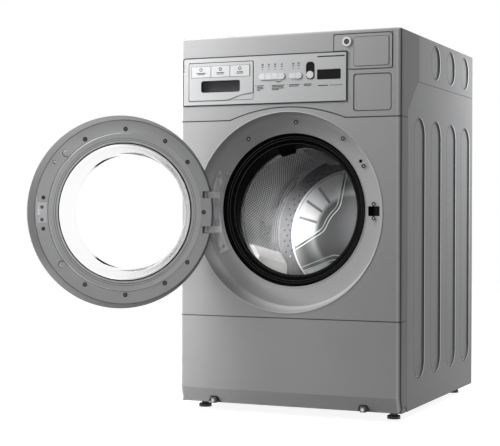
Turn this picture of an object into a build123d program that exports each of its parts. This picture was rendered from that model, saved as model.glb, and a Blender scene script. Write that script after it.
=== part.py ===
from build123d import *
import math
import os

# A coin-laundry washing machine that loads from the front, with its door open.
# Millimetres. The model is drawn with X = 0 on the middle line, depths (Y) counted from
# the front panel backwards and heights (Z) counted from the casing's lower edge. Each
# piece is moved home when it is saved: the origin is then on the floor under the middle
# of the casing, +Z is up and the front faces -Y.

# Casing
casing_depth = 780
console_height = 246
cover_skirt = 138
floor_gap = 24
sheet = 1.5
casing_corner = 12
seam = 1.2
flange = 14

# Front panels
kick_height = 257
kick_margin = 15
arch_margin = 13.5
arch_half_width = 178
arch_rise = 34.5
arch_blend = 12
return_depth = 62
console_depth = 172
console_wall = 3

# Door recess in the front panel, and the door
recess_radius = 289
recess_taper = 16
recess_depth = 48
recess_opening = 223
recess_collar = 10
door_rim_gap = 12.7
door_face_step = 13.8
door_face_gap = 12
door_thickness = 56
door_wall = 3
door_open_angle = 134.7
hinge_inset = 20.8
hinge_forward = 6
glass_radius = 204

# Drum and tub, on an axis that falls towards the back
drum_tilt = 8
drum_start = 100
drum_side_gap = 19
drum_gap_front = 15
drum_gap_back = 27
drum_mouth_radius = 198
tub_radius = 272
tub_side_gap = 70
tub_front_wall = 22
tub_rear_room = 312
tub_front_share = 0.4444
tub_wall = 5

# Clearances and cutters
overrun = 5
fit = 0.3
slip = 0.05
pivot_play = 0.06

# Casing screws, the same kind all over
screw_shank = 2.5
screw_head = 5
screw_head_height = 2.5
screw_length = 12

# Values that several pieces share
half_width = tub_radius + tub_side_gap
door_height = kick_height + kick_margin + recess_radius
fascia_line = door_height + recess_radius + arch_margin - arch_rise
casing_height = fascia_line + console_height
side_line = casing_height - cover_skirt
drum_radius = tub_radius - drum_side_gap
tub_length = casing_depth - tub_rear_room
tub_split = tub_front_wall + tub_length * tub_front_share
tub_end = tub_front_wall + tub_length
drum_front = tub_front_wall + drum_gap_front
drum_length = tub_length - drum_gap_front - drum_gap_back
recess_floor_radius = recess_radius - recess_taper
door_rim_radius = recess_radius - door_rim_gap
door_face_radius = door_rim_radius - door_face_step
door_face_depth = recess_depth - door_face_gap
door_front_depth = door_face_depth - door_thickness
hinge_x = hinge_inset - door_rim_radius
hinge_y = -hinge_forward
hinge_arm_height = 18
hinge_arm_rise = 51
hinge_arm_half = 3.5
opening_height = door_height + (drum_start - recess_depth) * math.tan(math.radians(drum_tilt))
door_place = Location((0, 0, door_height), (-90, 0, 0))
opening_place = Location((0, 0, opening_height), (-90, 0, 0))
drum_place = Location((0, drum_start, door_height), (-90 - drum_tilt, 0, 0))
console_place = Location((0, 0, fascia_line))
home = Location((0, -casing_depth / 2, floor_gap))
door_opening = Pos(hinge_x, hinge_y, 0) * Rot(0, 0, -door_open_angle) * Pos(-hinge_x, -hinge_y, 0)


def save(name, shape):
    """Write one piece to its own file, moved home."""
    export_step(home * shape, f"parts/{name}.step")


def block(left, right, near, far, low, high):
    """A box between two corners."""
    middle = Pos((left + right) / 2, (near + far) / 2, (low + high) / 2)
    return middle * Box(right - left, far - near, high - low)


def polygon(*points):
    """A flat outline with straight sides."""
    return make_face(Polyline(*points, close=True))


def turned(*points):
    """A ring or disc turned about the Z axis from (radius, distance) points."""
    return revolve(Plane.XZ * polygon(*points), Axis.Z)


def from_front(outline, near, far):
    """Extrude an outline of (x, height) points between two depths."""
    return extrude(Plane.XZ.offset(-far) * outline, far - near)


def from_side(outline, left, right):
    """Extrude an outline of (depth, height) points between two places along X."""
    return extrude(Plane.YZ.offset(left) * outline, right - left)


def from_above(outline, low, high):
    """Extrude an outline of (x, depth) points between two heights."""
    return extrude(Plane.XY.offset(low) * outline, high - low)


def panel_outline(left, right, low, high, corner):
    """A rectangle with rounded corners, seen from the front."""
    middle = Pos((left + right) / 2, (low + high) / 2)
    return middle * RectangleRounded(right - left, high - low, corner)


def peg(radius, x, z, near, far):
    """A round peg along Y between two depths."""
    return Pos(x, (near + far) / 2, z) * Rot(90, 0, 0) * Cylinder(radius, far - near)


def post(radius, x, y, low, high):
    """A round post along Z between two heights."""
    return Pos(x, y, (low + high) / 2) * Cylinder(radius, high - low)


def clock(angle):
    """Turn a piece about the door or drum axis, anticlockwise seen from the front."""
    return Rot(0, 0, -angle)


def polar(radius, angle):
    """A point on the front, from its radius and angle about the middle of the door."""
    turn = math.radians(angle)
    return radius * math.cos(turn), door_height + radius * math.sin(turn)


def both_sides(shape):
    """A piece and its mirror image across the middle of the machine."""
    return shape + mirror(shape, Plane.YZ)


def joined(shapes):
    """Several solids as one node."""
    return Compound(children=[solid for shape in shapes for solid in shape.solids()])


# The front panels' shared shapes

def front_outline():
    """The front panel seen from the front: a rectangle with a low arch over the door."""
    side = half_width + overrun
    plain = polygon((-side, kick_height), (side, kick_height), (side, fascia_line), (-side, fascia_line))
    chord = Line((-arch_half_width, fascia_line), (arch_half_width, fascia_line))
    top = (0, fascia_line + arch_rise)
    arc = ThreePointArc((arch_half_width, fascia_line), top, (-arch_half_width, fascia_line))
    outline = plain + make_face(chord + arc)
    feet = [corner for corner in outline.vertices() if abs(abs(corner.X) - arch_half_width) < seam]
    return fillet(feet, arch_blend)


def wrapped_sheet(low, high, depth, wall):
    """A sheet across the front that folds back along both sides, with rounded folds."""
    outer = block(-half_width, half_width, 0, depth, low, high)
    outer = fillet(outer.edges().filter_by(Axis.Z).group_by(Axis.Y)[0], casing_corner)
    inner_half = half_width - wall
    inner = block(-inner_half, inner_half, wall, depth + overrun, low - overrun, high + overrun)
    inner = fillet(inner.edges().filter_by(Axis.Z).group_by(Axis.Y)[0], casing_corner - wall)
    return outer - inner


# Base frame: a ring of channel with a block at each foot, two cross rails and two front tabs
base_front = 20
base_height = 40
channel_width = 45
channel_wall = 3
foot_across = 594
foot_front = 85
foot_back_inset = 70
foot_back = casing_depth - foot_back_inset
foot_block = 60
foot_stem_radius = 6
rail_width = 40
sump_back = 190
damper_rail_depth = drum_start + tub_end - sump_back
pump_rail_lead = 50
pump_rail_depth = damper_rail_depth - pump_rail_lead
notch_x = 232
notch_low_width = 41
notch_high_width = 23
notch_height = 20
tab_width = 16
tab_height = 16
kick_screw_height = 7.5
foot_places = [(side * foot_across / 2, depth) for depth in (foot_front, foot_back) for side in (-1, 1)]


def base_frame():
    inner = half_width - sheet
    back = casing_depth - 2 * sheet
    frame = block(-inner, inner, base_front, back, 0, base_height)
    edge = inner - channel_wall
    hollow_low, hollow_high = channel_wall, base_height - channel_wall
    frame -= block(-edge, edge, base_front + channel_wall, back - channel_wall, hollow_low, hollow_high)
    open_half = inner - channel_width
    window_front = base_front + channel_width
    window_back = back - channel_width
    frame -= block(-open_half, open_half, window_front, window_back, -overrun, base_height + overrun)
    rail_near = pump_rail_depth - rail_width / 2
    rail_far = damper_rail_depth + rail_width / 2
    frame += block(-edge, edge, rail_near, rail_far, base_height - channel_wall, base_height)
    for x, depth in foot_places:
        half = foot_block / 2
        outer_x = math.copysign(edge + channel_wall / 2, x)
        inner_x = x - math.copysign(half, x)
        left, right = min(inner_x, outer_x), max(inner_x, outer_x)
        frame += block(left, right, depth - half, depth + half, 0, base_height)
        frame -= post(foot_stem_radius + fit, x, depth, -overrun, base_height + overrun)
    for x in (-notch_x, notch_x):
        tab = block(x - tab_width / 2, x + tab_width / 2, sheet, base_front + sheet, 0, tab_height)
        frame += tab
        frame -= peg(screw_shank, x, kick_screw_height, -overrun, base_front)
    return frame


# Levelling feet: a pad, a hexagon for the spanner and a stem that rises into the frame
foot_radius = 19
foot_pad_height = 10
foot_hexagon_radius = 12
foot_hexagon_height = 9
foot_stem_length = 52
foot_edge = 3


def levelling_foot(x, depth):
    low = -floor_gap
    pad = post(foot_radius, x, depth, low, low + foot_pad_height)
    pad = fillet(pad.edges().group_by(Axis.Z)[-1], foot_edge)
    middle = low + foot_pad_height
    hexagon = from_above(RegularPolygon(foot_hexagon_radius, 6), middle, middle + foot_hexagon_height)
    stem = post(foot_stem_radius, x, depth, middle, middle + foot_stem_length)
    return pad + Pos(x, depth, 0) * hexagon + stem


# Side panels: flat sheets with four long pressed beads, folded flanges and a spring hanger
bead_width = 100
bead_low = 84
bead_drop = 103
bead_depth = 5
bead_middles = [casing_depth * share for share in (0.2295, 0.4475, 0.665, 0.881)]
slope_drop = 89
slope_low = side_line - slope_drop
slope_back = 160
strap_width = 14
hanger_gap = 23
hanger_x = tub_radius + hanger_gap
hanger_back = 218
hanger_depth = drum_start + tub_end - hanger_back
hanger_drop = 53
hanger_height = side_line - hanger_drop
hanger_size = 30
hanger_thickness = 4


def pressed_bead(width, low, high, middle):
    """A pan pressed inwards from the right-hand side: what is added, and what is cut away."""
    outline = Pos(middle, (low + high) / 2) * Rot(0, 0, 90) * SlotOverall(high - low, width)
    shrink = bead_depth
    floor = half_width - bead_depth
    outer = loft([Plane.YZ.offset(floor - sheet) * offset(outline, -shrink + sheet),
                  Plane.YZ.offset(half_width - sheet / 2) * offset(outline, sheet)])
    inner = loft([Plane.YZ.offset(floor) * offset(outline, -shrink),
                  Plane.YZ.offset(half_width) * outline])
    mouth = from_side(outline, half_width, half_width + overrun)
    return outer, inner + mouth


def side_panel():
    """The right-hand panel."""
    front = return_depth + seam
    back = casing_depth
    outline = polygon((front, 0), (back, 0), (back, side_line), (slope_back, side_line), (front, slope_low))
    outer, inner = half_width, half_width - sheet
    panel = from_side(outline, inner, outer)
    for middle in bead_middles:
        added, cut = pressed_bead(bead_width, bead_low, side_line - bead_drop, middle)
        panel = panel + added - cut
    rear_face = casing_depth - 2 * sheet
    panel += block(inner - flange, inner, rear_face - sheet, rear_face, base_height, side_line)
    panel += block(inner - flange, inner, front, front + sheet, base_height, slope_low - flange)
    strap_top = fascia_line - strap_width
    strap = block(inner - sheet, inner, front - strap_width, front + sheet, base_height, strap_top)
    upper = block(inner - sheet, inner, console_depth + strap_width, rear_face - sheet,
                  side_line - strap_width, side_line + strap_width)
    panel += strap
    panel += upper
    hanger = block(hanger_x - hanger_size / 2, inner, hanger_depth - hanger_size / 2,
                   hanger_depth + hanger_size / 2, hanger_height, hanger_height + hanger_thickness)
    panel += hanger
    return panel


# Top cover: the top sheet with skirts down both sides, three pressed ovals in each
oval_width = 88
oval_height = 100
oval_drop = 15
oval_middles = [casing_depth * share for share in (0.4423, 0.6564, 0.869)]
cover_corner = 6


def top_cover():
    near, far = console_depth + seam, casing_depth
    low = side_line + seam
    outer = block(-half_width, half_width, near, far, low, casing_height)
    outer = fillet(outer.edges().filter_by(Axis.Y).group_by(Axis.Z)[-1], cover_corner)
    inner = half_width - sheet
    hollow = block(-inner, inner, near - overrun, far + overrun, low - overrun, casing_height - sheet)
    hollow = fillet(hollow.edges().filter_by(Axis.Y).group_by(Axis.Z)[-1], cover_corner - sheet)
    cover = outer - hollow
    oval_high = casing_height - oval_drop
    for middle in oval_middles:
        added, cut = pressed_bead(oval_width, oval_high - oval_height, oval_high, middle)
        cover = cover + both_sides(added) - both_sides(cut)
    return cover


# Rear panel and its service cover, with holes for the water, the drain and the supply
service_width = 420
service_height = 470
service_low = 235
service_middle = service_low + service_height / 2
service_lap = 12
valve_x = -230
valve_drop = 75
valve_height = casing_height - valve_drop
valve_pitch = 60
valve_radius = 13
drain_x = 70
drain_height = 85
drain_radius = 12
gland_x = 250
gland_drop = 90
gland_height = casing_height - gland_drop
gland_radius = 11
gland_length = 16


def rear_panel():
    rear = casing_depth - sheet
    inner = half_width - sheet
    panel = block(-inner, inner, rear - sheet, rear, base_height, casing_height - sheet - fit)
    panel = fillet(panel.edges().filter_by(Axis.Y).group_by(Axis.Z)[-1], cover_corner)
    window = panel_outline(-service_width / 2, service_width / 2, service_middle - service_height / 2,
                           service_middle + service_height / 2, casing_corner)
    panel -= from_front(window, rear - sheet - overrun, rear + overrun)
    for x in (valve_x, valve_x + valve_pitch):
        panel -= peg(valve_radius + fit, x, valve_height, rear - sheet - overrun, rear + overrun)
    panel -= peg(drain_radius + fit, drain_x, drain_height, rear - sheet - overrun, rear + overrun)
    panel -= peg(gland_radius + fit, gland_x, gland_height, rear - sheet - overrun, rear + overrun)
    for x, z in service_screws():
        panel -= peg(screw_shank + fit, x, z, rear - sheet - overrun, rear + overrun)
    return panel


def service_screws():
    """The middles of the screws at the service cover's corners."""
    across = (service_width + service_lap) / 2
    up = (service_height + service_lap) / 2
    return [(x, service_middle + z) for x in (-across, across) for z in (-up, up)]


def service_cover():
    across = service_width / 2 + service_lap
    up = service_height / 2 + service_lap
    outline = panel_outline(-across, across, service_middle - up, service_middle + up, casing_corner)
    cover = from_front(outline, casing_depth - sheet, casing_depth)
    for x, z in service_screws():
        cover -= peg(screw_shank + fit, x, z, casing_depth - overrun, casing_depth + overrun)
    return cover


def screw(x, z, face, direction):
    """A pan-head screw along Y whose head sits on a face; its shank goes in the direction."""
    head_far = face - direction * screw_head_height
    shank_far = face + direction * screw_length
    head = peg(screw_head, x, z, min(face, head_far), max(face, head_far))
    shank = peg(screw_shank - fit, x, z, min(face, shank_far), max(face, shank_far))
    return head + shank


# Fascia: the console across the top, folded back along the sides, with three openings.
# Heights on the console are counted from the fascia's lower line.
insert_left = -331
insert_step = -324.5
insert_right = 183
insert_low = 46
insert_step_height = 145.5
insert_high = 186
insert_gap = 0.6
access_left = 144
access_right = 317
access_low = 135
access_high = 234
access_inner_x = 193
access_inner_height = 188
access_chamfer = 9
access_gap = 1.5
access_thickness = 5
access_proud = 1
access_pin_radius = 1.5
access_pin_inset = 3
access_pin_length = 8
blank_left = 204
blank_right = 313
blank_low = 18
blank_high = 120
blank_corner = 6
blank_gap = 1.6
fascia_tongue_in = 190
fascia_tongue_out = 325
fascia_tongue_height = 12


def insert_outline():
    return polygon((insert_left, insert_low), (insert_right, insert_low), (insert_right, insert_high),
                   (insert_step, insert_high), (insert_step, insert_step_height),
                   (insert_left, insert_step_height))


def access_outline():
    """The L-shaped access panel, with a chamfer in its inner corner."""
    inner_x, inner_z = access_inner_x, access_inner_height
    return polygon((access_left, access_high), (access_left, inner_z), (inner_x - access_chamfer, inner_z),
                   (inner_x, inner_z - access_chamfer), (inner_x, access_low), (access_right, access_low),
                   (access_right, access_high))


def blank_outline():
    return panel_outline(blank_left, blank_right, blank_low, blank_high, blank_corner)


def access_pins(length, radius):
    """The pins at the access panel's top and bottom right, on which it swings."""
    x = access_right - access_pin_inset
    y = access_pin_radius
    low = post(radius, x, y, access_low - access_gap - sheet, access_low + length)
    high = post(radius, x, y, access_high - length, access_high + access_gap + sheet)
    return low + high


def fascia():
    low = fascia_line + seam
    wall = console_wall
    outer = block(-half_width, half_width, 0, console_depth, low, casing_height)
    outer = fillet(outer.edges().filter_by(Axis.Z).group_by(Axis.Y)[0], casing_corner)
    outer = fillet(outer.edges().group_by(Axis.Z)[-1].filter_by(Axis.Y), cover_corner)
    inner_half = half_width - wall
    inner = block(-inner_half, inner_half, wall, console_depth + overrun, low - overrun, casing_height - wall)
    inner = fillet(inner.edges().filter_by(Axis.Z).group_by(Axis.Y)[0], casing_corner - wall)
    inner = fillet(inner.edges().group_by(Axis.Z)[-1].filter_by(Axis.Y), cover_corner - wall)
    shell = outer - inner
    shell -= from_front(offset(front_outline(), seam), -overrun, return_depth)
    side_cut = polygon((return_depth, low - overrun), (return_depth, slope_low), (slope_back, side_line + seam),
                       (console_depth + overrun, side_line + seam), (console_depth + overrun, low - overrun))
    shell -= from_side(side_cut, -half_width - overrun, half_width + overrun)
    openings = [offset(insert_outline(), insert_gap, kind=Kind.INTERSECTION),
                offset(access_outline(), access_gap, kind=Kind.INTERSECTION), offset(blank_outline(), blank_gap)]
    for opening in openings:
        shell -= console_place * from_front(opening, -overrun, wall + overrun)
    tongue = block(fascia_tongue_in, fascia_tongue_out, sheet, wall + sheet, fascia_line - fascia_tongue_height,
                   fascia_line + fascia_tongue_height)
    shell += both_sides(tongue)
    return shell + console_place * access_pins(access_pin_length, access_pin_radius)


# Front panel: the pressed sheet with the round recess for the door
lock_x = 248
lock_rise = 4
lock_height = door_height + lock_rise
lock_slot_width = 34
lock_slot_height = 28
lock_screw_rise = 20
recess_screw_radii = (261, 256.7, 262, 254.5)
recess_screw_angles = (87.7, 122.9, 53.8, 31.3)
switch_hole_radius = 5
switch_circle_radius = 254.3
switch_hole_angle = 35.1
bracket_angle = 24.8
bracket_screw_radii = (241, 256)
bracket_thickness = 2.5


def bracket_screw_places():
    """The middles of the hinge bracket's four screws."""
    turns = [180 - bracket_angle, 180 + bracket_angle]
    return [polar(radius, turn) for radius in bracket_screw_radii for turn in turns]


def lock_screw_places():
    return [(lock_x, lock_height + rise) for rise in (-lock_screw_rise, lock_screw_rise)]


def recess_screws():
    """The middles of the four screws round the recess's floor."""
    return [polar(radius, turn) for radius, turn in zip(recess_screw_radii, recess_screw_angles)]


def front_panel():
    skin = wrapped_sheet(kick_height, fascia_line + arch_rise + overrun, return_depth, sheet)
    skin &= from_front(front_outline(), -overrun, return_depth + overrun)
    skin -= door_place * Cylinder(recess_radius + sheet / 2, 4 * overrun)
    opening, floor = recess_opening, recess_floor_radius
    deep = recess_depth + sheet
    dish = turned((recess_radius, 0), (floor, recess_depth), (0, recess_depth), (0, deep),
                  (floor + sheet / 2, deep), (recess_radius + sheet, sheet), (recess_radius + sheet, 0))
    panel = skin + door_place * dish
    collar_far = recess_depth + recess_collar
    panel -= opening_place * Cylinder(opening + sheet / 2, 4 * recess_depth)
    collar = turned((opening, recess_depth), (opening, collar_far), (opening + sheet, collar_far),
                    (opening + sheet, recess_depth))
    panel += opening_place * collar
    half_x, half_z = lock_slot_width / 2, lock_slot_height / 2
    panel -= block(lock_x - half_x, lock_x + half_x, recess_depth - overrun, deep + overrun,
                   lock_height - half_z, lock_height + half_z)
    holes = recess_screws() + bracket_screw_places() + lock_screw_places()
    for x, z in holes:
        panel -= peg(screw_shank + fit, x, z, recess_depth - overrun, deep + overrun)
    x, z = polar(switch_circle_radius, switch_hole_angle)
    panel -= peg(switch_hole_radius, x, z, recess_depth - overrun, deep + overrun)
    return panel


def casing_screws():
    """The casing's screws: in the recess's floor, the hinge bracket, the kick's notches and the rear."""
    plain = recess_screws() + lock_screw_places()
    places = [(x, z, recess_depth, 1) for x, z in plain]
    places += [(x, z, recess_depth - bracket_thickness, 1) for x, z in bracket_screw_places()]
    places += [(x, kick_screw_height, sheet, 1) for x in (-notch_x, notch_x)]
    places += [(x, z, casing_depth, -1) for x, z in service_screws()]
    return joined([screw(*place) for place in places])


# Kick panel: its lower edge slopes back, with two notches for the screws
kick_bend = 43
kick_slope = 15
kick_corner = 18
kick_tongue = 9
kick_lift = 1


def kick_panel():
    high = kick_height - seam
    side = polygon((0, high), (0, kick_bend), (kick_slope, kick_lift), (return_depth, kick_lift),
                   (return_depth, high))
    outer = from_side(side, -half_width, half_width)
    folds = [edge for edge in outer.edges() if edge.center().Y < kick_slope and abs(edge.tangent_at(0).X) < slip]
    outer = fillet(folds, casing_corner)
    inner_half = half_width - sheet
    side = polygon((sheet, high + overrun), (sheet, kick_bend), (kick_slope + sheet, 0),
                   (kick_slope + sheet, -overrun), (return_depth + overrun, -overrun),
                   (return_depth + overrun, high + overrun))
    inner = from_side(side, -inner_half, inner_half)
    folds = [edge for edge in inner.edges() if edge.center().Y < kick_slope and abs(edge.tangent_at(0).X) < slip]
    inner = fillet(folds, casing_corner - sheet)
    shell = outer - inner
    frame = panel_outline(-half_width, half_width, kick_lift, high + kick_corner + overrun, kick_corner)
    shell &= from_front(frame, -overrun, return_depth + overrun)
    low_half, high_half = notch_low_width / 2, notch_high_width / 2
    for x in (-notch_x, notch_x):
        notch = polygon((x - low_half, -overrun), (x + low_half, -overrun), (x + low_half, 0),
                        (x + high_half, notch_height), (x - high_half, notch_height), (x - low_half, 0))
        shell -= from_front(notch, -overrun, 2 * kick_slope)
    tongue_half = half_width - sheet - casing_corner
    shell += block(-tongue_half, tongue_half, sheet, 2 * sheet, high - kick_tongue, kick_height + kick_tongue)
    return shell


# Control insert: the lighter plate with the drawer's opening, the buttons and the display
insert_proud = 2
insert_flange = 5
insert_flange_thickness = 2
drawer_left = -311
drawer_right = -104
drawer_low = 60
drawer_high = 171
drawer_step_height = 80
drawer_step_left = -187
drawer_step_right = -141
drawer_step_rise = 75
drawer_gap = 1.2
button_proud = 2
button_gap = 0.3
button_flange = 2
button_flange_thickness = 2
cycle_left = -86.6
cycle_right = -4.6
cycle_low = 114.3
cycle_high = 133.5
cycle_edges = [cycle_left + (cycle_right - cycle_left) * share for share in (0, 0.2463, 0.5024, 0.745, 1)]
option_left = 8.2
option_right = 48
option_low = 114.5
option_high = 131.5
start_x = 72.9
start_height = 124
start_radius = 10.8
pill_left = 60.6
pill_right = 86
pill_low = 111
pill_high = 161
display_left = 94.4
display_right = 165.1
display_low = 109.7
display_high = 137.8
display_corner = 2
lens_depth = 2
lens_proud = 0.3


def drawer_outline():
    """The drawer's front, stepped up along its lower right edge."""
    return polygon((drawer_left, drawer_low), (drawer_step_left, drawer_low),
                   (drawer_step_right, drawer_step_rise), (drawer_right, drawer_step_height),
                   (drawer_right, drawer_high), (drawer_left, drawer_high))


def pill_outline(grow):
    corner = (pill_right - pill_left) / 2 - insert_proud
    return panel_outline(pill_left - grow, pill_right + grow, pill_low - grow, pill_high + grow, corner)


def display_outline(grow):
    return panel_outline(display_left - grow, display_right + grow, display_low - grow,
                         display_high + grow, display_corner)


def control_insert():
    back = console_wall
    plate = from_front(insert_outline(), -insert_proud, back)
    edge = offset(insert_outline(), insert_flange, kind=Kind.INTERSECTION)
    behind = from_front(edge, back, back + insert_flange_thickness)
    fold = half_width - casing_corner
    flange_low, flange_right = insert_low - insert_flange, insert_right + insert_flange
    behind &= block(-fold, flange_right, -overrun, 2 * overrun, flange_low, insert_high)
    access = offset(access_outline(), overrun, kind=Kind.INTERSECTION)
    plate += behind - from_front(access, -overrun, 2 * overrun)
    far = back + insert_flange_thickness + overrun
    near = -insert_proud - overrun
    plate -= from_front(offset(drawer_outline(), drawer_gap, kind=Kind.INTERSECTION), near, far)
    radius = (cycle_high - cycle_low) / 2 - button_gap
    plate -= from_front(panel_outline(cycle_left, cycle_right, cycle_low, cycle_high, radius), near, far)
    radius = (option_high - option_low) / 2 - button_gap
    plate -= from_front(panel_outline(option_left, option_right, option_low, option_high, radius), near, far)
    plate -= peg(start_radius + button_gap, start_x, start_height, near, far)
    pocket = lens_depth - insert_proud
    plate -= from_front(pill_outline(slip), near, pocket)
    plate -= from_front(display_outline(slip), near, pocket)
    return plate


def display_lens():
    """The black window over the display and the black surround of the start button."""
    near, far = -insert_proud - lens_proud, lens_depth - insert_proud
    surround = from_front(pill_outline(0), near, far)
    surround -= peg(start_radius + button_gap, start_x, start_height, near - overrun, far + overrun)
    return joined([from_front(display_outline(0), near, far), surround])


def bar_button(left, right, low, high, bar_left, bar_right):
    """One button of a row: a slice of a bar with round ends, and a flange behind the insert."""
    radius = (high - low) / 2 - button_gap
    back = console_wall + insert_flange_thickness
    bar = panel_outline(bar_left + button_gap, bar_right - button_gap, low + button_gap, high - button_gap,
                        radius - button_gap)
    cap = from_front(bar, -insert_proud - button_proud, back)
    cap &= block(left + button_gap, right - button_gap, -overrun, back + overrun, low, high)
    cap += block(left + button_gap, right - button_gap, back, back + button_flange_thickness,
                 low - button_flange, high + button_flange)
    return cap


def start_button():
    back = console_wall + insert_flange_thickness
    cap = peg(start_radius, start_x, start_height, -insert_proud - button_proud, back)
    return cap + peg(start_radius + button_flange, start_x, start_height, back, back + button_flange_thickness)


# Detergent drawer: the front with its pull and labels, the tray, and the housing it slides in
drawer_front_back = 2
drawer_proud = 3
pull_left = -271
pull_right = -146
pull_low = 83.6
pull_high = 118
pull_corner = 6
pull_depth = 13
pull_wall = 2.5
label_left = -302.6
label_right = -114.7
label_low = 128.5
label_high = 160.7
label_gap = 1.2
label_thickness = 0.6
label_edges = [label_left + (label_right - label_left) * share for share in (0, 0.3369, 0.6631, 1)]
tray_left = -300
tray_right = -116
tray_low = 80.5
tray_high = 149
tray_far = 248
tray_wall = 2.5
housing_gap = 1.2
housing_wall = 2.5
housing_far = 268


def drawer_front():
    front = from_front(drawer_outline(), -drawer_proud, drawer_front_back)
    wall = pull_wall
    cup = panel_outline(pull_left - wall, pull_right + wall, pull_low - wall, pull_high + wall,
                        pull_corner + wall)
    front += from_front(cup, drawer_front_back - sheet, pull_depth + wall - drawer_proud)
    pocket = panel_outline(pull_left, pull_right, pull_low, pull_high, pull_corner)
    return front - from_front(pocket, -drawer_proud - overrun, pull_depth - drawer_proud)


def drawer_labels():
    """Three blank label plates in a row."""
    plates = []
    for left, right in zip(label_edges[:-1], label_edges[1:]):
        plate_left, plate_right = left + label_gap / 2, right - label_gap / 2
        plate = panel_outline(plate_left, plate_right, label_low, label_high, display_corner)
        plates.append(from_front(plate, -drawer_proud - label_thickness, -drawer_proud))
    return joined(plates)


def drawer_tray():
    """Three open compartments behind the drawer's front."""
    near = pull_depth + pull_wall - drawer_proud
    tray = block(tray_left, tray_right, near, tray_far, tray_low, tray_high)
    pocket_width = (tray_right - tray_left - 4 * tray_wall) / 3
    for index in range(3):
        left = tray_left + tray_wall + index * (pocket_width + tray_wall)
        tray -= block(left, left + pocket_width, near + tray_wall, tray_far - tray_wall,
                      tray_low + tray_wall, tray_high + overrun)
    return tray


def dispenser_housing():
    near = console_wall + insert_flange_thickness
    gap, wall = housing_gap, housing_wall
    inner = block(tray_left - gap, tray_right + gap, near - overrun, housing_far,
                  tray_low - slip, tray_high + gap)
    outer = block(tray_left - gap - wall, tray_right + gap + wall, near, housing_far + wall,
                  tray_low - slip - wall, tray_high + gap + wall)
    rim = block(drawer_left - overrun, drawer_right + overrun, near, near + wall,
                drawer_low - overrun, drawer_high + overrun)
    return outer + rim - inner


# Access panel with its key lock, and the blank cover below it
lock_barrel_x = 183.3
lock_barrel_height = 213
lock_flange_radius = 13
lock_flange_thickness = 3
lock_barrel_radius = 11
lock_barrel_length = 22
lock_plug_radius = 8
lock_cam_thickness = 3
lock_cam_reach = 26
lock_cam_width = 10
key_slot_width = 1.5
key_slot_length = 9
key_slot_depth = 8
raised_left = 204
raised_right = 307
raised_low = 143
raised_high = 225
raised_height = 0.8


def access_panel():
    front = -access_proud
    back = access_thickness - access_proud
    panel = from_front(access_outline(), front, back)
    raised = panel_outline(raised_left, raised_right, raised_low, raised_high, display_corner)
    panel += from_front(raised, front - raised_height, front + raised_height)
    panel -= peg(lock_barrel_radius + slip, lock_barrel_x, lock_barrel_height, front - overrun, back + overrun)
    panel -= access_pins(access_pin_length + fit, access_pin_radius + pivot_play)
    return panel


def lock_barrel():
    """The fixed sleeve of the key lock, with its flange on the panel."""
    face = -access_proud
    near = face - lock_flange_thickness
    far = near + lock_barrel_length
    sleeve = peg(lock_flange_radius, lock_barrel_x, lock_barrel_height, near, face)
    sleeve += peg(lock_barrel_radius, lock_barrel_x, lock_barrel_height, face, far)
    return sleeve - peg(lock_plug_radius + slip, lock_barrel_x, lock_barrel_height, near - overrun, far + overrun)


def lock_plug():
    """The plug that the key turns, with the cam behind it."""
    near = -access_proud - lock_flange_thickness
    far = near + lock_barrel_length + slip
    x, z = lock_barrel_x, lock_barrel_height
    plug = peg(lock_plug_radius, x, z, near, far)
    plug -= block(x - key_slot_width / 2, x + key_slot_width / 2, near - overrun, near + key_slot_depth,
                  z - key_slot_length / 2, z + key_slot_length / 2)
    half = lock_cam_width / 2
    cam = block(x - half, x + lock_cam_reach, far, far + lock_cam_thickness, z - half, z + half)
    return plug + cam


def blank_cover():
    face = access_proud
    back = console_wall + insert_flange_thickness
    cover = from_front(blank_outline(), face, back)
    return cover + from_front(offset(blank_outline(), insert_flange), console_wall, back)


# Door lock behind the recess's floor
lock_body_width = 44
lock_body_height = 70
lock_body_depth = 30
lock_body_wall = 3


def door_lock():
    face = recess_depth + sheet
    half_x, half_z = lock_body_width / 2, lock_body_height / 2
    body = block(lock_x - half_x, lock_x + half_x, face, face + lock_body_depth,
                 lock_height - half_z, lock_height + half_z)
    open_x, open_z = lock_slot_width / 2, lock_slot_height / 2
    body -= block(lock_x - open_x, lock_x + open_x, face - overrun, face + lock_body_depth - lock_body_wall,
                  lock_height - open_z, lock_height + open_z)
    for x, z in lock_screw_places():
        body -= peg(screw_shank + fit, x, z, face - overrun, face + screw_length)
    gasket_far = face + lock_body_depth + overrun
    gasket_side = opening_place * Cylinder(recess_opening + recess_collar / 2, 2 * gasket_far)
    return body - gasket_side


# Door gasket: clamped in the recess's collar, with a lip for the glass, a sleeve to the tub and a
# spray nozzle at its top
gasket_lip_radius = 190
gasket_lip_depth = 70
gasket_mouth_radius = 192.5
gasket_mouth_start = 2
gasket_wall = 5
gasket_bead = 2
gasket_front_gap = 1
gasket_front = recess_depth + gasket_front_gap
nozzle_angle = 105
nozzle_reach = 12
nozzle_base = 54
nozzle_tip = 44
nozzle_length = 10
nozzle_setback = 1
tub_collar_radius = 205
tub_collar_wall = 4
tub_collar_length = 14


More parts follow.
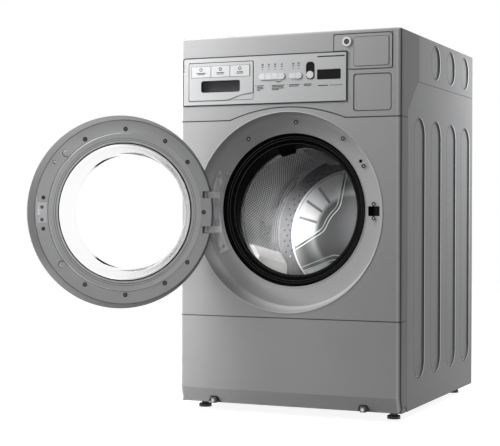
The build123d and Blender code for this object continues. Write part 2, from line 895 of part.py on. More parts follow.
def door_gasket():
    outer = recess_opening - slip
    far = recess_depth + recess_collar + gasket_bead
    lip, deep = gasket_lip_radius, gasket_lip_depth
    front = turned((outer - gasket_bead, gasket_front + 4 * gasket_bead), (outer - gasket_bead, gasket_front),
                   (outer, gasket_front), (outer, far), (lip + gasket_wall, deep + gasket_wall),
                   (lip, deep + gasket_wall), (lip, deep))
    mouth, start = gasket_mouth_radius, gasket_mouth_start
    seat = tub_collar_radius + tub_collar_wall + slip
    collar_front = tub_front_wall - tub_collar_length - slip
    rear = turned((mouth, start), (seat + 2 * gasket_bead, start), (seat + 2 * gasket_bead, tub_front_wall - fit),
                  (seat, tub_front_wall - fit), (seat, collar_front), (mouth, collar_front))
    lip_plane = Plane(opening_place * Location((0, 0, deep + gasket_wall)))
    mouth_plane = Plane(drum_place * Location((0, 0, start + gasket_bead)))
    outside = loft([lip_plane * Circle(lip + gasket_wall), mouth_plane * Circle(mouth + gasket_wall)])
    inside = loft([lip_plane * Circle(lip), mouth_plane * Circle(mouth)])
    root = mouth + gasket_wall
    spray = polygon((root, -nozzle_base / 2), (mouth - nozzle_reach, -nozzle_tip / 2),
                    (mouth - nozzle_reach, nozzle_tip / 2), (root, nozzle_base / 2))
    spray = extrude(Plane.XY.offset(start + nozzle_setback) * spray, nozzle_length)
    nozzle = drum_place * (clock(nozzle_angle) * spray)
    return opening_place * front + drum_place * rear + (outside - inside) + nozzle


# Tub: two halves bolted at a flange, hung on springs, with the bearing hub at the back
tub_flange = 12
tub_flange_thickness = 4
hub_radius = 45
hub_bore = 30
hub_length = 62
hub_end = tub_end + hub_length
sump_x = 0
sump_place = tub_end - sump_back
sump_radius = 22
sump_length = 99
sump_low = door_height - tub_radius - sump_length
sump_wall = 3
lug_width = 20
lug_height = 12
lug_rise = 129
lug_low = door_height + lug_rise
damper_inset = 57
damper_x = tub_radius - damper_inset
damper_lug_inset = 41
damper_lug_drop = tub_radius - damper_lug_inset
damper_lug_height = 42
damper_lug_low = door_height - damper_lug_drop
damper_lug_high = damper_lug_low + damper_lug_height
motor_inset = 82
motor_x = tub_radius - motor_inset
motor_clearance = 61
motor_drop = tub_radius + motor_clearance
motor_pad_inset = 10
motor_pad_drop = tub_radius - motor_pad_inset
motor_pad_width = 80
motor_pad_gap = 90
motor_pad_near = tub_end - motor_pad_gap
motor_pad_far = motor_pad_near + motor_pad_width


def tub_shell(near, far):
    return turned((tub_radius, near), (tub_radius + tub_wall, near), (tub_radius + tub_wall, far), (tub_radius, far))


def tub_front():
    start = tub_front_wall
    shell = tub_shell(start, tub_split)
    collar = tub_collar_radius
    shell += turned((collar, start - tub_collar_length), (collar + tub_collar_wall, start - tub_collar_length),
                    (collar + tub_collar_wall, start), (tub_radius + tub_wall, start),
                    (tub_radius + tub_wall, start + tub_wall), (collar, start + tub_wall))
    edge = tub_radius + tub_flange
    shell += turned((tub_radius, tub_split - tub_flange_thickness), (edge, tub_split - tub_flange_thickness),
                    (edge, tub_split), (tub_radius, tub_split))
    return drum_place * shell


def tub_rear():
    end = tub_end
    shell = tub_shell(tub_split, end)
    edge = tub_radius + tub_flange
    shell += turned((tub_radius, tub_split), (edge, tub_split), (edge, tub_split + tub_flange_thickness),
                    (tub_radius, tub_split + tub_flange_thickness))
    shell += turned((hub_bore, end - tub_wall), (tub_radius + tub_wall, end - tub_wall),
                    (tub_radius + tub_wall, end), (hub_bore, end))
    shell += turned((hub_bore, end - tub_wall), (hub_radius, end - tub_wall), (hub_radius, hub_end),
                    (hub_bore, hub_end))
    pad_half = motor_pad_width / 2
    pad = block(motor_x - pad_half, motor_x + pad_half, 0, motor_pad_drop, motor_pad_near, motor_pad_far)
    bore = Pos(0, 0, (motor_pad_near + motor_pad_far) / 2) * Cylinder(tub_radius + tub_wall / 2, tub_length)
    tub = drum_place * (shell + (pad - bore))
    half_length = end - tub_wall - tub_split
    inside = drum_place * Pos(0, 0, tub_split) * Cylinder(tub_radius + tub_wall / 2, 2 * half_length)
    hung = block(damper_x, hanger_x + lug_width / 2, hanger_depth - lug_width / 2, hanger_depth + lug_width / 2,
                 lug_low, lug_low + lug_height)
    stood = block(damper_x - lug_width / 2, damper_x + lug_width / 2, damper_rail_depth - lug_width / 2,
                  damper_rail_depth + lug_width / 2, damper_lug_low, damper_lug_high)
    tub += both_sides(hung + stood - inside)
    sump_depth = drum_start + sump_place
    nozzle = post(sump_radius, sump_x, sump_depth - lug_width * 2, sump_low, door_height - tub_radius)
    drain = post(sump_radius - sump_wall, sump_x, sump_depth - lug_width * 2, sump_low - overrun, door_height)
    tub = tub + (nozzle - inside) - drain
    return tub


# Bearings in the hub
shaft_radius = 15
bearing_width = 14
bearing_gap = 4
bearing_starts = (tub_end + bearing_gap, hub_end - bearing_gap - bearing_width)


def drum_bearings():
    rings = []
    for start in bearing_starts:
        ring = turned((shaft_radius + slip, start), (hub_bore - slip, start),
                      (hub_bore - slip, start + bearing_width), (shaft_radius + slip, start + bearing_width))
        rings.append(drum_place * ring)
    return joined(rings)


# Drum: the perforated wall, the rolled front, the pressed back, three lifters and the spider
drum_sheet = 1.2
drum_back_thickness = 3
drum_back_start = drum_front + drum_length - drum_back_thickness
star_rise = 10
star_bevel = 6
star_wall = 2.5
window_bead = 4
hole_radius = 3.5
hole_rings = (214, 224, 234)
hole_count = 12
hole_pitch = 4.5
window_angles = (147, 27, 267)
arm_angles = (87, 207, 327)
lifter_angles = (92, 212, 332)
window_inner_radius = 98
window_outer_radius = 205
window_outer_angle = 47
window_inner_angle = 24
window_corner_radius = 14
lifter_base = 120
lifter_top = 40
lifter_height = 57
lifter_gap = 40
lifter_near = drum_front + lifter_gap
lifter_share = 0.72
lifter_far = lifter_near + drum_length * lifter_share
lifter_front_slope = 8
lifter_back_slope = 78
lifter_wall = 1.5
spider_start = drum_front + drum_length
spider_thickness = 14
spider_arm_width = 60
spider_hub_radius = 42
pulley_gap = 4
pulley_start = hub_end + pulley_gap
pulley_width = 20
pulley_radius = 150
pulley_rim = 12
pulley_web = 5
pulley_hub_radius = 28
shaft_stub = 8
shaft_end = pulley_start + pulley_width + shaft_stub


def drum_shell():
    near = drum_front + 2 * pulley_rim
    far = drum_front + drum_length
    inner = drum_radius
    wall = turned((inner, near), (inner + drum_sheet, near), (inner + drum_sheet, far), (inner, far))
    return drum_place * wall


def drum_front_ring():
    """The rolled front with the round mouth, seated inside the wall."""
    edge = drum_radius - slip
    mouth = drum_mouth_radius
    near = drum_front
    fold = near + pulley_rim
    ring = turned((mouth, near + pulley_rim), (mouth, near + drum_sheet), (mouth + overrun, near),
                  (edge - pulley_rim, fold - overrun), (edge, fold + overrun), (edge, fold + 2 * pulley_rim),
                  (edge - drum_sheet, fold + 2 * pulley_rim), (edge - drum_sheet, fold + overrun),
                  (edge - pulley_rim, fold - overrun + 2 * drum_sheet), (mouth + overrun, near + 2 * drum_sheet),
                  (mouth + 2 * drum_sheet, near + pulley_rim))
    return drum_place * ring


def window_outline(grow):
    """One window of the back, between two arms, as a ring sector with round corners."""
    outer_half, inner_half = math.radians(window_outer_angle), math.radians(window_inner_angle)
    inner, outer = window_inner_radius, window_outer_radius
    tip = (outer * math.cos(outer_half), outer * math.sin(outer_half))
    root = (inner * math.cos(inner_half), inner * math.sin(inner_half))
    rim = ThreePointArc((tip[0], -tip[1]), (outer, 0), tip)
    foot = ThreePointArc(root, (inner, 0), (root[0], -root[1]))
    outline = make_face(rim + Line(tip, root) + foot + Line((root[0], -root[1]), (tip[0], -tip[1])))
    return offset(fillet(outline.vertices(), window_corner_radius), grow)


def star_outline(grow):
    """The hub and the three arms between the windows."""
    star = Circle(window_outer_radius + grow)
    for angle in window_angles:
        star -= Rot(0, 0, -angle) * window_outline(-grow)
    return star


def drum_back():
    """The pressed back: a disc with rings of holes, a bead round the windows and a raised star."""
    start, thick = drum_back_start, drum_back_thickness
    disc = Pos(0, 0, start + thick / 2) * Cylinder(drum_radius - slip, thick)
    top = Plane.XY.offset(start - star_rise)
    foot = Plane.XY.offset(start)
    star = extrude(top * star_outline(-star_bevel), star_rise)
    star += extrude(Plane.XY.offset(start - star_rise + star_bevel) * star_outline(0), star_rise - star_bevel)
    hollow = extrude(Plane.XY.offset(start - star_rise + star_wall) * star_outline(-star_bevel - star_wall),
                     star_rise + thick)
    back = disc + star - hollow
    bead = turned((window_outer_radius - window_bead, start), (window_outer_radius, start - window_bead),
                  (window_outer_radius + window_bead, start))
    back += bead
    for index, radius in enumerate(hole_rings):
        for angle in window_angles:
            for step in range(hole_count):
                turn = angle + (step - (hole_count - 1) / 2 + index % 2 / 2) * hole_pitch * 2
                hole = Pos(radius, 0, start) * Cylinder(hole_radius, 4 * thick)
                back -= clock(turn) * hole
    return drum_place * back


def lifter_ridge(inset):
    """The ridge of a lifter, shrunk all round by an inset, with a steep front end and a long back slope."""
    foot, top = drum_radius, drum_radius - lifter_height + inset
    base, crest = lifter_base / 2 - inset, lifter_top / 2 - inset
    near, far = lifter_near + inset, lifter_far - inset
    section = polygon((top, -crest), (foot, -base), (foot + overrun, -base), (foot + overrun, base),
                      (foot, base), (top, crest))
    ridge = extrude(Plane.XY.offset(near) * section, far - near)
    profile = polygon((foot + 2 * overrun, near), (foot, near), (top, near + lifter_front_slope),
                      (top, far - lifter_back_slope), (foot, far), (foot + 2 * overrun, far))
    return ridge & extrude(Plane.XZ.offset(-lifter_base) * profile, 2 * lifter_base)


def drum_lifter(angle):
    """One lifter: a hollow pressing along the wall, open towards it."""
    shell = lifter_ridge(0) - lifter_ridge(lifter_wall)
    middle = (lifter_near + lifter_far) / 2
    shell &= Pos(0, 0, middle) * Cylinder(drum_radius - 2 * slip, lifter_far - lifter_near)
    return drum_place * (clock(angle) * shell)


def drum_lifters():
    """All three lifters, 120 degrees apart."""
    return joined([drum_lifter(angle) for angle in lifter_angles])


def drum_spider():
    """The casting behind the back: three arms and the shaft."""
    start, thick = spider_start, spider_thickness
    reach = drum_radius - 2 * fit
    spider = Pos(0, 0, start + thick / 2) * Cylinder(spider_hub_radius, thick)
    arm = block(0, reach, -spider_arm_width / 2, spider_arm_width / 2, start, start + thick)
    arm &= Pos(0, 0, start) * Cylinder(reach, 4 * thick)
    for angle in arm_angles:
        spider += clock(angle) * arm
    spider += Pos(0, 0, (start + shaft_end) / 2) * Cylinder(shaft_radius, shaft_end - start)
    return drum_place * spider


def drum_pulley():
    near, far = pulley_start, pulley_start + pulley_width
    middle = (near + far) / 2
    wheel = turned((pulley_radius - pulley_rim, near), (pulley_radius, near), (pulley_radius, far),
                   (pulley_radius - pulley_rim, far))
    wheel += turned((shaft_radius + slip, middle - pulley_web / 2), (pulley_radius, middle - pulley_web / 2),
                    (pulley_radius, middle + pulley_web / 2), (shaft_radius + slip, middle + pulley_web / 2))
    wheel += turned((shaft_radius + slip, near), (pulley_hub_radius, near), (pulley_hub_radius, far),
                    (shaft_radius + slip, far))
    return drum_place * wheel


# Motor under the tub, its small pulley and the belt
motor_radius = 65
motor_length = 145
motor_gap = 26
motor_far = pulley_start - motor_gap
motor_near = motor_far - motor_length
motor_shaft_radius = 8
motor_pulley_radius = 15
belt_thickness = 3
belt_width = 14


def drive_motor():
    middle = (motor_near + motor_far) / 2
    body = Pos(motor_x, motor_drop, middle) * Cylinder(motor_radius, motor_far - motor_near)
    pad_half = motor_pad_width / 2
    body += block(motor_x - pad_half, motor_x + pad_half, motor_pad_drop, motor_drop,
                  motor_pad_near, motor_pad_far)
    bore = Pos(motor_x, motor_drop, motor_far) * Cylinder(motor_shaft_radius + slip, motor_far - motor_near)
    return drum_place * (body - bore)


def motor_rotor():
    """The motor's shaft with the small pulley."""
    far = pulley_start + pulley_width
    near = motor_far - pulley_width
    shaft = Cylinder(motor_shaft_radius, far - near)
    shaft = Pos(motor_x, motor_drop, (near + far) / 2) * shaft
    wheel = Pos(motor_x, motor_drop, (pulley_start + far) / 2) * Cylinder(motor_pulley_radius, pulley_width)
    return drum_place * (shaft + wheel)


def belt_outline(large, small):
    """The outline round two discs and the straight runs between them."""
    distance = math.hypot(motor_x, motor_drop)
    along = math.atan2(motor_drop, motor_x)
    lean = math.acos((large - small) / distance)
    ends = []
    for turn in (along + lean, along - lean):
        ends.append((large * math.cos(turn), large * math.sin(turn)))
        ends.append((motor_x + small * math.cos(turn), motor_drop + small * math.sin(turn)))
    runs = polygon(ends[0], ends[1], ends[3], ends[2])
    return Circle(large) + Pos(motor_x, motor_drop) * Circle(small) + runs


def drive_belt():
    inside = belt_outline(pulley_radius + fit, motor_pulley_radius + fit)
    outside = belt_outline(pulley_radius + fit + belt_thickness, motor_pulley_radius + fit + belt_thickness)
    start = pulley_start + (pulley_width - belt_width) / 2
    return drum_place * extrude(Plane.XY.offset(start) * (outside - inside), belt_width)


# Counterweight, springs and dampers
weight_half_width = 150
weight_gap = 20
weight_share = 0.3632
weight_length = tub_length * weight_share
weight_near = tub_split + weight_gap
weight_far = weight_near + weight_length
weight_rise = 66
weight_top = tub_radius + weight_rise
spring_radius = 13
spring_end = 13
spring_low = lug_low + lug_height + spring_end
spring_high = hanger_height - 2 * spring_end
spring_wire = 3
damper_radius = 13
damper_rod_radius = 6
damper_share = 0.586
damper_join = base_height + (damper_lug_low - base_height) * damper_share


def counterweight():
    slab = block(-weight_half_width, weight_half_width, -weight_top, 0, weight_near, weight_far)
    slab -= Cylinder(tub_radius + tub_flange + fit, 2 * weight_far + overrun)
    feet = block(-weight_half_width, weight_half_width, -weight_top, 0, weight_near, weight_near + pulley_width)
    feet -= Cylinder(tub_radius + tub_wall + slip, 2 * weight_far + overrun)
    return drum_place * (slab + feet)


def suspension_springs():
    """A spring on each side, from the hanger to the tub's lug, drawn as its outer shape."""
    low, high = lug_low + lug_height, hanger_height
    spring = post(spring_radius, hanger_x, hanger_depth, spring_low, spring_high)
    spring += post(spring_wire, hanger_x, hanger_depth, low, high)
    return joined([both_sides(spring)])


def dampers():
    """A telescopic damper on each side, from the base's rail to the tub's lug."""
    damper = post(damper_radius, damper_x, damper_rail_depth, base_height, damper_join)
    damper += post(damper_rod_radius, damper_x, damper_rail_depth, damper_join, damper_lug_low)
    return joined([both_sides(damper)])


# Drain pump, water valve and the cable gland
pump_radius = 38
pump_length = 90
pump_height = 92
pump_foot = 40
valve_depth = 60
valve_body = 44
valve_reach = 16


def drain_pump():
    depth = drum_start + sump_place - lug_width * 2
    body = Pos(sump_x, depth, pump_height) * Rot(0, 90, 0) * Cylinder(pump_radius, pump_length)
    half = pump_foot / 2
    body += block(sump_x - half, sump_x + half, depth - half, depth + half, base_height, pump_height)
    body += post(sump_radius, sump_x, depth, pump_height, sump_low)
    hose_start = depth + pump_radius - tub_wall
    body += block(sump_x, drain_x + drain_radius, depth - drain_radius, depth + drain_radius,
                  drain_height - drain_radius, drain_height + drain_radius)
    pipe = peg(drain_radius, drain_x, drain_height, depth, casing_depth + gland_length)
    bore_far = casing_depth + gland_length + overrun
    bore = peg(drain_radius - sump_wall, drain_x, drain_height, hose_start, bore_far)
    return body + pipe - bore


def inlet_valve():
    """The two-way water valve, with its threaded stubs through the rear panel."""
    inside = casing_depth - 2 * sheet
    half = valve_body / 2
    right = valve_x + valve_pitch
    valve = block(valve_x - half, right + half, inside - valve_depth, inside,
                  valve_height - half, valve_height + half)
    for x in (valve_x, right):
        valve += peg(valve_radius, x, valve_height, inside - sheet, casing_depth + valve_reach)
        bore_far = casing_depth + valve_reach + overrun
        valve -= peg(valve_radius - sump_wall, x, valve_height, inside + overrun, bore_far)
    return valve


def power_inlet():
    """The gland where a supply cable enters."""
    inside = casing_depth - 2 * sheet
    far = casing_depth + gland_length
    gland = peg(gland_radius, gland_x, gland_height, inside, far)
    gland += peg(gland_radius + sump_wall, gland_x, gland_height, inside - gland_length, inside)
    gland += peg(gland_radius + sump_wall, gland_x, gland_height, casing_depth - sheet, far - sump_wall)
    return gland - peg(gland_radius / 2, gland_x, gland_height, inside - gland_length - overrun, far + overrun)


# Hinge bracket: a curved plate on the recess's floor with two arms that reach into the door
bracket_inner = 230.5
bracket_outer = 264
bracket_half_angle = 28
bracket_root_x = -232
hinge_eye_radius = 6.3
hinge_pin_radius = 3
hinge_slot_play = 1.2
hinge_pin_reach = 4


def ring_sector(inner, outer, middle, half):
    """A ring sector seen from the front, about the middle of the door."""
    start, end = math.radians(middle - half), math.radians(middle + half)
    centre = math.radians(middle)
    points = [(radius * math.cos(turn), door_height + radius * math.sin(turn))
              for radius in (inner, outer) for turn in (start, centre, end)]
    foot = ThreePointArc(points[0], points[1], points[2])
    rim = ThreePointArc(points[5], points[4], points[3])
    return make_face(foot + Line(points[2], points[5]) + rim + Line(points[3], points[0]))


def arm_direction():
    """The angle of the arms seen from above, from the pivot to the plate."""
    return math.atan2(recess_depth - hinge_y, bracket_root_x - hinge_x)


def hinge_bracket():
    face = recess_depth - bracket_thickness
    plate = from_front(ring_sector(bracket_inner, bracket_outer, 180, bracket_half_angle), face, recess_depth)
    for x, z in bracket_screw_places():
        plate -= peg(screw_shank + fit, x, z, face - overrun, recess_depth + overrun)
    turn = arm_direction()
    side = (hinge_arm_half * math.sin(turn), -hinge_arm_half * math.cos(turn))
    root = (bracket_root_x, recess_depth)
    arm = polygon((hinge_x + side[0], hinge_y + side[1]), (root[0] + side[0], root[1] + side[1]),
                  (root[0] - side[0], root[1] - side[1]), (hinge_x - side[0], hinge_y - side[1]))
    arm += Pos(hinge_x, hinge_y) * Circle(hinge_eye_radius)
    below = block(hinge_x - recess_depth, 0, face, recess_depth + overrun + sheet, 0, casing_height)
    for rise in (-hinge_arm_rise, hinge_arm_rise):
        low = door_height + rise - hinge_arm_height / 2
        solid = from_above(arm, low, low + hinge_arm_height)
        solid -= below
        high = low + hinge_arm_height
        solid -= post(hinge_pin_radius + pivot_play, hinge_x, hinge_y, low - overrun, high + overrun)
        plate += solid
    return plate


# Door: drawn closed, then swung open about its hinge pins
glass_thickness = 6
glass_flange = 14
bowl_shoulder_radius = 166
bowl_shoulder = 66
bowl_rise = 30
lip_radius = 206
ring_radius = 223.8
ring_foot = 1.2
ring_rise = 10
rim_depth = 8
door_screw_radius = 236
door_screw_angles = (90, 60, 120, 142, 180, 218, 240, 270, 300)
nose_shares = ((0.98, 0.46), (0.948, 0.79), (0.867, 1.0))


def door_slots(grow):
    """What the arms sweep inside the door as it opens, as a wedge about the pins."""
    start = arm_direction()
    end = start + math.radians(door_open_angle)
    play = hinge_arm_half + hinge_slot_play + grow
    reach = 2 * recess_depth
    first = (play * math.sin(start), -play * math.cos(start))
    last = (-play * math.sin(end), play * math.cos(end))
    spread = [start + (end - start) * share for share in (0, 1 / 3, 2 / 3, 1)]
    far = [(reach * math.cos(turn), reach * math.sin(turn)) for turn in spread]
    points = [first, (first[0] + far[0][0], first[1] + far[0][1]), far[1], far[2],
              (last[0] + far[3][0], last[1] + far[3][1]), last]
    wedge = polygon(*points) + Circle(hinge_eye_radius + hinge_slot_play + grow)
    half = hinge_arm_height / 2 + hinge_slot_play
    slots = None
    for rise in (-hinge_arm_rise, hinge_arm_rise):
        middle = door_height + rise
        slot = Pos(hinge_x, hinge_y, 0) * from_above(wedge, middle - half, middle + half)
        slots = slot if slots is None else slots + slot
    return slots


def inner_frame_outside():
    """Points of the inner frame's face towards the drum, from the rim inwards."""
    face = door_face_depth
    return [(door_rim_radius, rim_depth), (door_face_radius, face), (ring_radius + ring_foot, face),
            (ring_radius, face + ring_rise), (lip_radius, face + glass_thickness)]


def hinge_block_solid():
    """The solid part of the inner frame that holds the hinge pins."""
    wall = door_wall
    hollow = turned((door_rim_radius - wall / 2, rim_depth), (door_face_radius - wall / 2, door_face_depth - wall / 2),
                    (glass_radius + wall, door_face_depth - wall / 2), (glass_radius + wall, rim_depth))
    front = turned((door_rim_radius - wall - fit, rim_depth), (glass_radius + wall, rim_depth),
                   (glass_radius + wall, hinge_y - hinge_eye_radius),
                   (door_rim_radius * nose_shares[1][0] - wall, hinge_y - hinge_eye_radius + fit),
                   (door_rim_radius * nose_shares[0][0] - wall, hinge_y))
    half = hinge_arm_height / 2 + hinge_slot_play
    cheek = 2 * hinge_pin_reach
    solid = None
    for rise in (-hinge_arm_rise, hinge_arm_rise):
        low = door_height + rise - half - cheek
        high = door_height + rise + half + cheek
        lump = block(-door_rim_radius, hinge_x + 2 * hinge_eye_radius, -recess_depth, recess_depth, low, high)
        solid = lump if solid is None else solid + lump
    return solid & (door_place * (hollow + front))


latch_block_left = 218
latch_block_right = 257
latch_block_down = 61
latch_block_up = 57
latch_block_rise = 5
latch_hole_x = 238
latch_hole_rises = (-47.2, 39.5)
latch_hole_radius = 4.5
strike_x = 241
strike_width = 27
strike_height = 56
strike_thickness = 1.5
strike_drop = 2
strike_middle = door_height - strike_drop
strike_screw_down = 20
strike_screw_up = 15
strike_screws = (strike_middle - strike_screw_down, strike_middle + strike_screw_up)
hook_rise = 1
hook_middle = strike_middle + hook_rise
hook_width = 14
hook_height = 14
hook_reach = 23
hook_wall = 4


def latch_block():
    """The raised block round the strike, between the ring and the rim, with two screw holes."""
    face, high = door_face_depth, door_face_depth + latch_block_rise
    raised = block(latch_block_left, latch_block_right, face - slip, high, door_height - latch_block_down,
                   door_height + latch_block_up)
    half_x, half_z = strike_width / 2 + fit, strike_height / 2 + fit
    raised -= block(strike_x - half_x, strike_x + half_x, face, high + overrun,
                    strike_middle - half_z, strike_middle + half_z)
    raised &= door_place * Cylinder(door_face_radius, 4 * recess_depth)
    for rise in latch_hole_rises:
        raised -= peg(latch_hole_radius, latch_hole_x, door_height + rise, face, high + overrun)
    return raised


def hinge_pin_posts(radius, grow):
    """The two pins, or with more radius the bores that hold them."""
    half = hinge_arm_height / 2 + hinge_slot_play + hinge_pin_reach + grow
    return [post(radius, hinge_x, hinge_y, door_height + rise - half, door_height + rise + half)
            for rise in (-hinge_arm_rise, hinge_arm_rise)]


def door_inner_frame():
    outside = inner_frame_outside()
    wall = door_wall
    face = door_face_depth
    inside = [(glass_radius - glass_flange / 2, face + wall), (ring_radius - wall, face + wall),
              (ring_radius - wall, face - wall), (door_face_radius - wall, face - wall),
              (door_rim_radius - wall, rim_depth)]
    lip = [(glass_radius - glass_flange / 2, face + glass_thickness)]
    ring = door_place * turned(*(outside + lip + inside))
    ring += latch_block()
    ring += hinge_block_solid()
    ring -= door_slots(0)
    for bore in hinge_pin_posts(hinge_pin_radius + slip, slip):
        ring -= bore
    for angle in door_screw_angles:
        x, z = polar(door_screw_radius, angle)
        ring -= peg(screw_head + fit, x, z, face - screw_head_height, face + overrun)
        ring -= peg(screw_shank + fit, x, z, face - wall - overrun, face + overrun)
    for z in strike_screws:
        ring -= peg(screw_head + fit, strike_x, z, face + strike_thickness - screw_head_height, face + overrun)
        ring -= peg(screw_shank + fit, strike_x, z, face - wall - overrun, face + overrun)
    return ring


grip_width = 26
grip_height = 120
grip_inset = 46
grip_depth = 20


def door_outer_frame():
    """The front ring, with the tunnel that holds the glass from the front."""
    wall = door_wall
    rim, front = door_rim_radius, door_front_depth
    tunnel = glass_radius - glass_flange / 2 - wall
    far = door_face_depth - glass_thickness
    nose = [(rim * across, front * deep) for across, deep in nose_shares]
    inner_nose = [(radius - wall, depth + wall) for radius, depth in nose]
    points = [(rim, rim_depth), (rim, 0)] + nose + [(glass_radius, front - seam), (tunnel, front + wall),
              (tunnel + wall, far), (tunnel + 2 * wall, far), (tunnel + 2 * wall - seam, front + 2 * wall),
              (glass_radius + wall, front + wall)]
    points += list(reversed(inner_nose)) + [(rim - wall, 0), (rim - wall, rim_depth)]
    ring = door_place * turned(*points)
    ring -= door_slots(0)
    grip_half = grip_height / 2
    grip_x = door_rim_radius - grip_inset
    grip = block(grip_x - grip_width / 2, grip_x + grip_width / 2, front - overrun, front + grip_depth,
                 door_height - grip_half, door_height + grip_half)
    cup = block(grip_x - grip_width / 2 - wall, grip_x + grip_width / 2 + wall, front + seam,
                front + grip_depth + wall, door_height - grip_half - wall, door_height + grip_half + wall)
    cup &= door_place * Cylinder(rim - wall / 2, 4 * recess_depth)
    ring += cup
    for bore in hinge_pin_posts(hinge_pin_radius + fit, fit):
        ring -= bore
    return ring - grip


def dome(radius, start, rise):
    """A shallow arc from a rim to the axis, level at its middle."""
    sphere = (radius * radius + rise * rise) / (2 * rise)
    middle = radius / 2
    sag = sphere - math.sqrt(sphere * sphere - middle * middle)
    return ThreePointArc((radius, start), (middle, start + rise - sag), (0, start + rise))


def door_glass():
    """The deep clear bowl: a flange held between the frames and a tapered wall with a domed end."""
    wall = glass_thickness
    face = door_face_depth
    neck = glass_radius - glass_flange
    shoulder = face + bowl_shoulder
    wires = Line((0, shoulder + bowl_rise - wall), (0, shoulder + bowl_rise))
    wires += dome(bowl_shoulder_radius, shoulder, bowl_rise)
    wires += Polyline((bowl_shoulder_radius, shoulder), (neck, face), (glass_radius, face),
                      (glass_radius, face - wall), (neck - wall, face - wall),
                      (bowl_shoulder_radius - wall, shoulder - wall))
    wires += dome(bowl_shoulder_radius - wall, shoulder - wall, bowl_rise)
    return door_place * revolve(Plane.XZ * make_face(wires), Axis.Z)


seal_bead = 3


def door_seal():
    """The black ring between the glass and the inner frame."""
    face = door_face_depth
    inner = glass_radius - glass_flange / 2
    ring = turned((inner, face), (glass_radius, face), (glass_radius, face + door_wall),
                  (inner, face + door_wall))
    bead = inner - seal_bead
    ring += turned((bead, face + sheet), (inner, face), (inner, face + glass_thickness),
                   (bead, face + glass_thickness))
    return door_place * ring


def door_screws():
    """Countersunk into the inner frame's face, flush with it."""
    solids = []
    for angle in door_screw_angles:
        x, z = polar(door_screw_radius, angle)
        solids.append(screw(x, z, door_face_depth - screw_head_height, -1))
    for z in strike_screws:
        solids.append(screw(strike_x, z, door_face_depth + strike_thickness - screw_head_height, -1))
    return joined(solids)


def door_strike():
    """The strike plate with the loop that the lock holds."""
    face = door_face_depth
    plate = block(strike_x - strike_width / 2, strike_x + strike_width / 2, face, face + strike_thickness,
                  strike_middle - strike_height / 2, strike_middle + strike_height / 2)
    for z in strike_screws:
        plate -= peg(screw_head + fit, strike_x, z, face - overrun, face + overrun)
    near, far = face + strike_thickness, face + strike_thickness + hook_reach
    hook = block(lock_x - hook_width / 2, strike_x + strike_width / 2, near - strike_thickness / 2, far,
                 hook_middle - hook_height / 2, hook_middle + hook_height / 2)
    hook -= block(lock_x - hook_width / 2, lock_x + hook_width, near + hook_wall, far - hook_wall,
                  hook_middle - hook_height / 2 + hook_wall, hook_middle + hook_height / 2 - hook_wall)
    return plate + hook


bumper_circle_radii = (238.4, 247.5, 235.9)
bumper_angles = (43.4, 34.1, 321.5)
bumper_radii = (8.5, 4, 8.5)
bumper_height = 11


def door_bumpers():
    """Rubber pegs on the inner frame's face that meet the recess's floor."""
    pegs = []
    for circle, angle, size in zip(bumper_circle_radii, bumper_angles, bumper_radii):
        x, z = polar(circle, angle)
        stop = peg(size, x, z, door_face_depth, door_face_depth + bumper_height)
        pegs.append(fillet(stop.edges().group_by(Axis.Y)[-1], sheet))
    return joined(pegs)


def hinge_pins():
    return joined(hinge_pin_posts(hinge_pin_radius, 0))


# Write every piece

os.makedirs("parts", exist_ok=True)
right_side = side_panel()
pieces = {
    "base_frame": base_frame(),
    "side_panel_right": right_side,
    "side_panel_left": mirror(right_side, Plane.YZ),
    "top_cover": top_cover(),
    "rear_panel": rear_panel(),
    "service_cover": service_cover(),
    "casing_screws": casing_screws(),
    "fascia": fascia(),
    "front_panel": front_panel(),
    "kick_panel": kick_panel(),
    "control_insert": console_place * control_insert(),
    "display_lens": console_place * display_lens(),
    "start_button": console_place * start_button(),
    "drawer_front": console_place * drawer_front(),
    "drawer_labels": console_place * drawer_labels(),
    "drawer_tray": console_place * drawer_tray(),
    "dispenser_housing": console_place * dispenser_housing(),
    "access_panel": console_place * access_panel(),
    "lock_barrel": console_place * lock_barrel(),
    "lock_plug": console_place * lock_plug(),
    "blank_cover": console_place * blank_cover(),
    "door_lock": door_lock(),
    "door_gasket": door_gasket(),
    "tub_front": tub_front(),
    "tub_rear": tub_rear(),
    "drum_bearings": drum_bearings(),
    "drum_shell": drum_shell(),
    "drum_front_ring": drum_front_ring(),
    "drum_back": drum_back(),
    "drum_lifters": drum_lifters(),
    "drum_spider": drum_spider(),
    "drum_pulley": drum_pulley(),
    "drive_motor": drive_motor(),
    "motor_rotor": motor_rotor(),
    "drive_belt": drive_belt(),
    "counterweight": counterweight(),
    "suspension_springs": suspension_springs(),
    "dampers": dampers(),
    "drain_pump": drain_pump(),
    "inlet_valve": inlet_valve(),
    "power_inlet": power_inlet(),
    "hinge_bracket": hinge_bracket(),
}
for index, (x, depth) in enumerate(foot_places, 1):
    pieces[f"levelling_foot_{index}"] = levelling_foot(x, depth)
for index, (left, right) in enumerate(zip(cycle_edges[:-1], cycle_edges[1:]), 1):
    button = bar_button(left, right, cycle_low, cycle_high, cycle_left, cycle_right)
    pieces[f"cycle_button_{index}"] = console_place * button
option_middle = (option_left + option_right) / 2
for index, (left, right) in enumerate([(option_left, option_middle), (option_middle, option_right)], 1):
    button = bar_button(left, right, option_low, option_high, option_left, option_right)
    pieces[f"option_button_{index}"] = console_place * button
door_pieces = {
    "door_inner_frame": door_inner_frame(),
    "door_outer_frame": door_outer_frame(),
    "door_glass": door_glass(),
    "door_seal": door_seal(),
    "door_screws": door_screws(),
    "door_strike": door_strike(),
    "door_bumpers": door_bumpers(),
    "hinge_pins": hinge_pins(),
}
for name, shape in door_pieces.items():
    pieces[name] = door_opening * shape
for name, shape in pieces.items():
    save(name, shape)
print(len(pieces), "pieces")
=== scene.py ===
import math

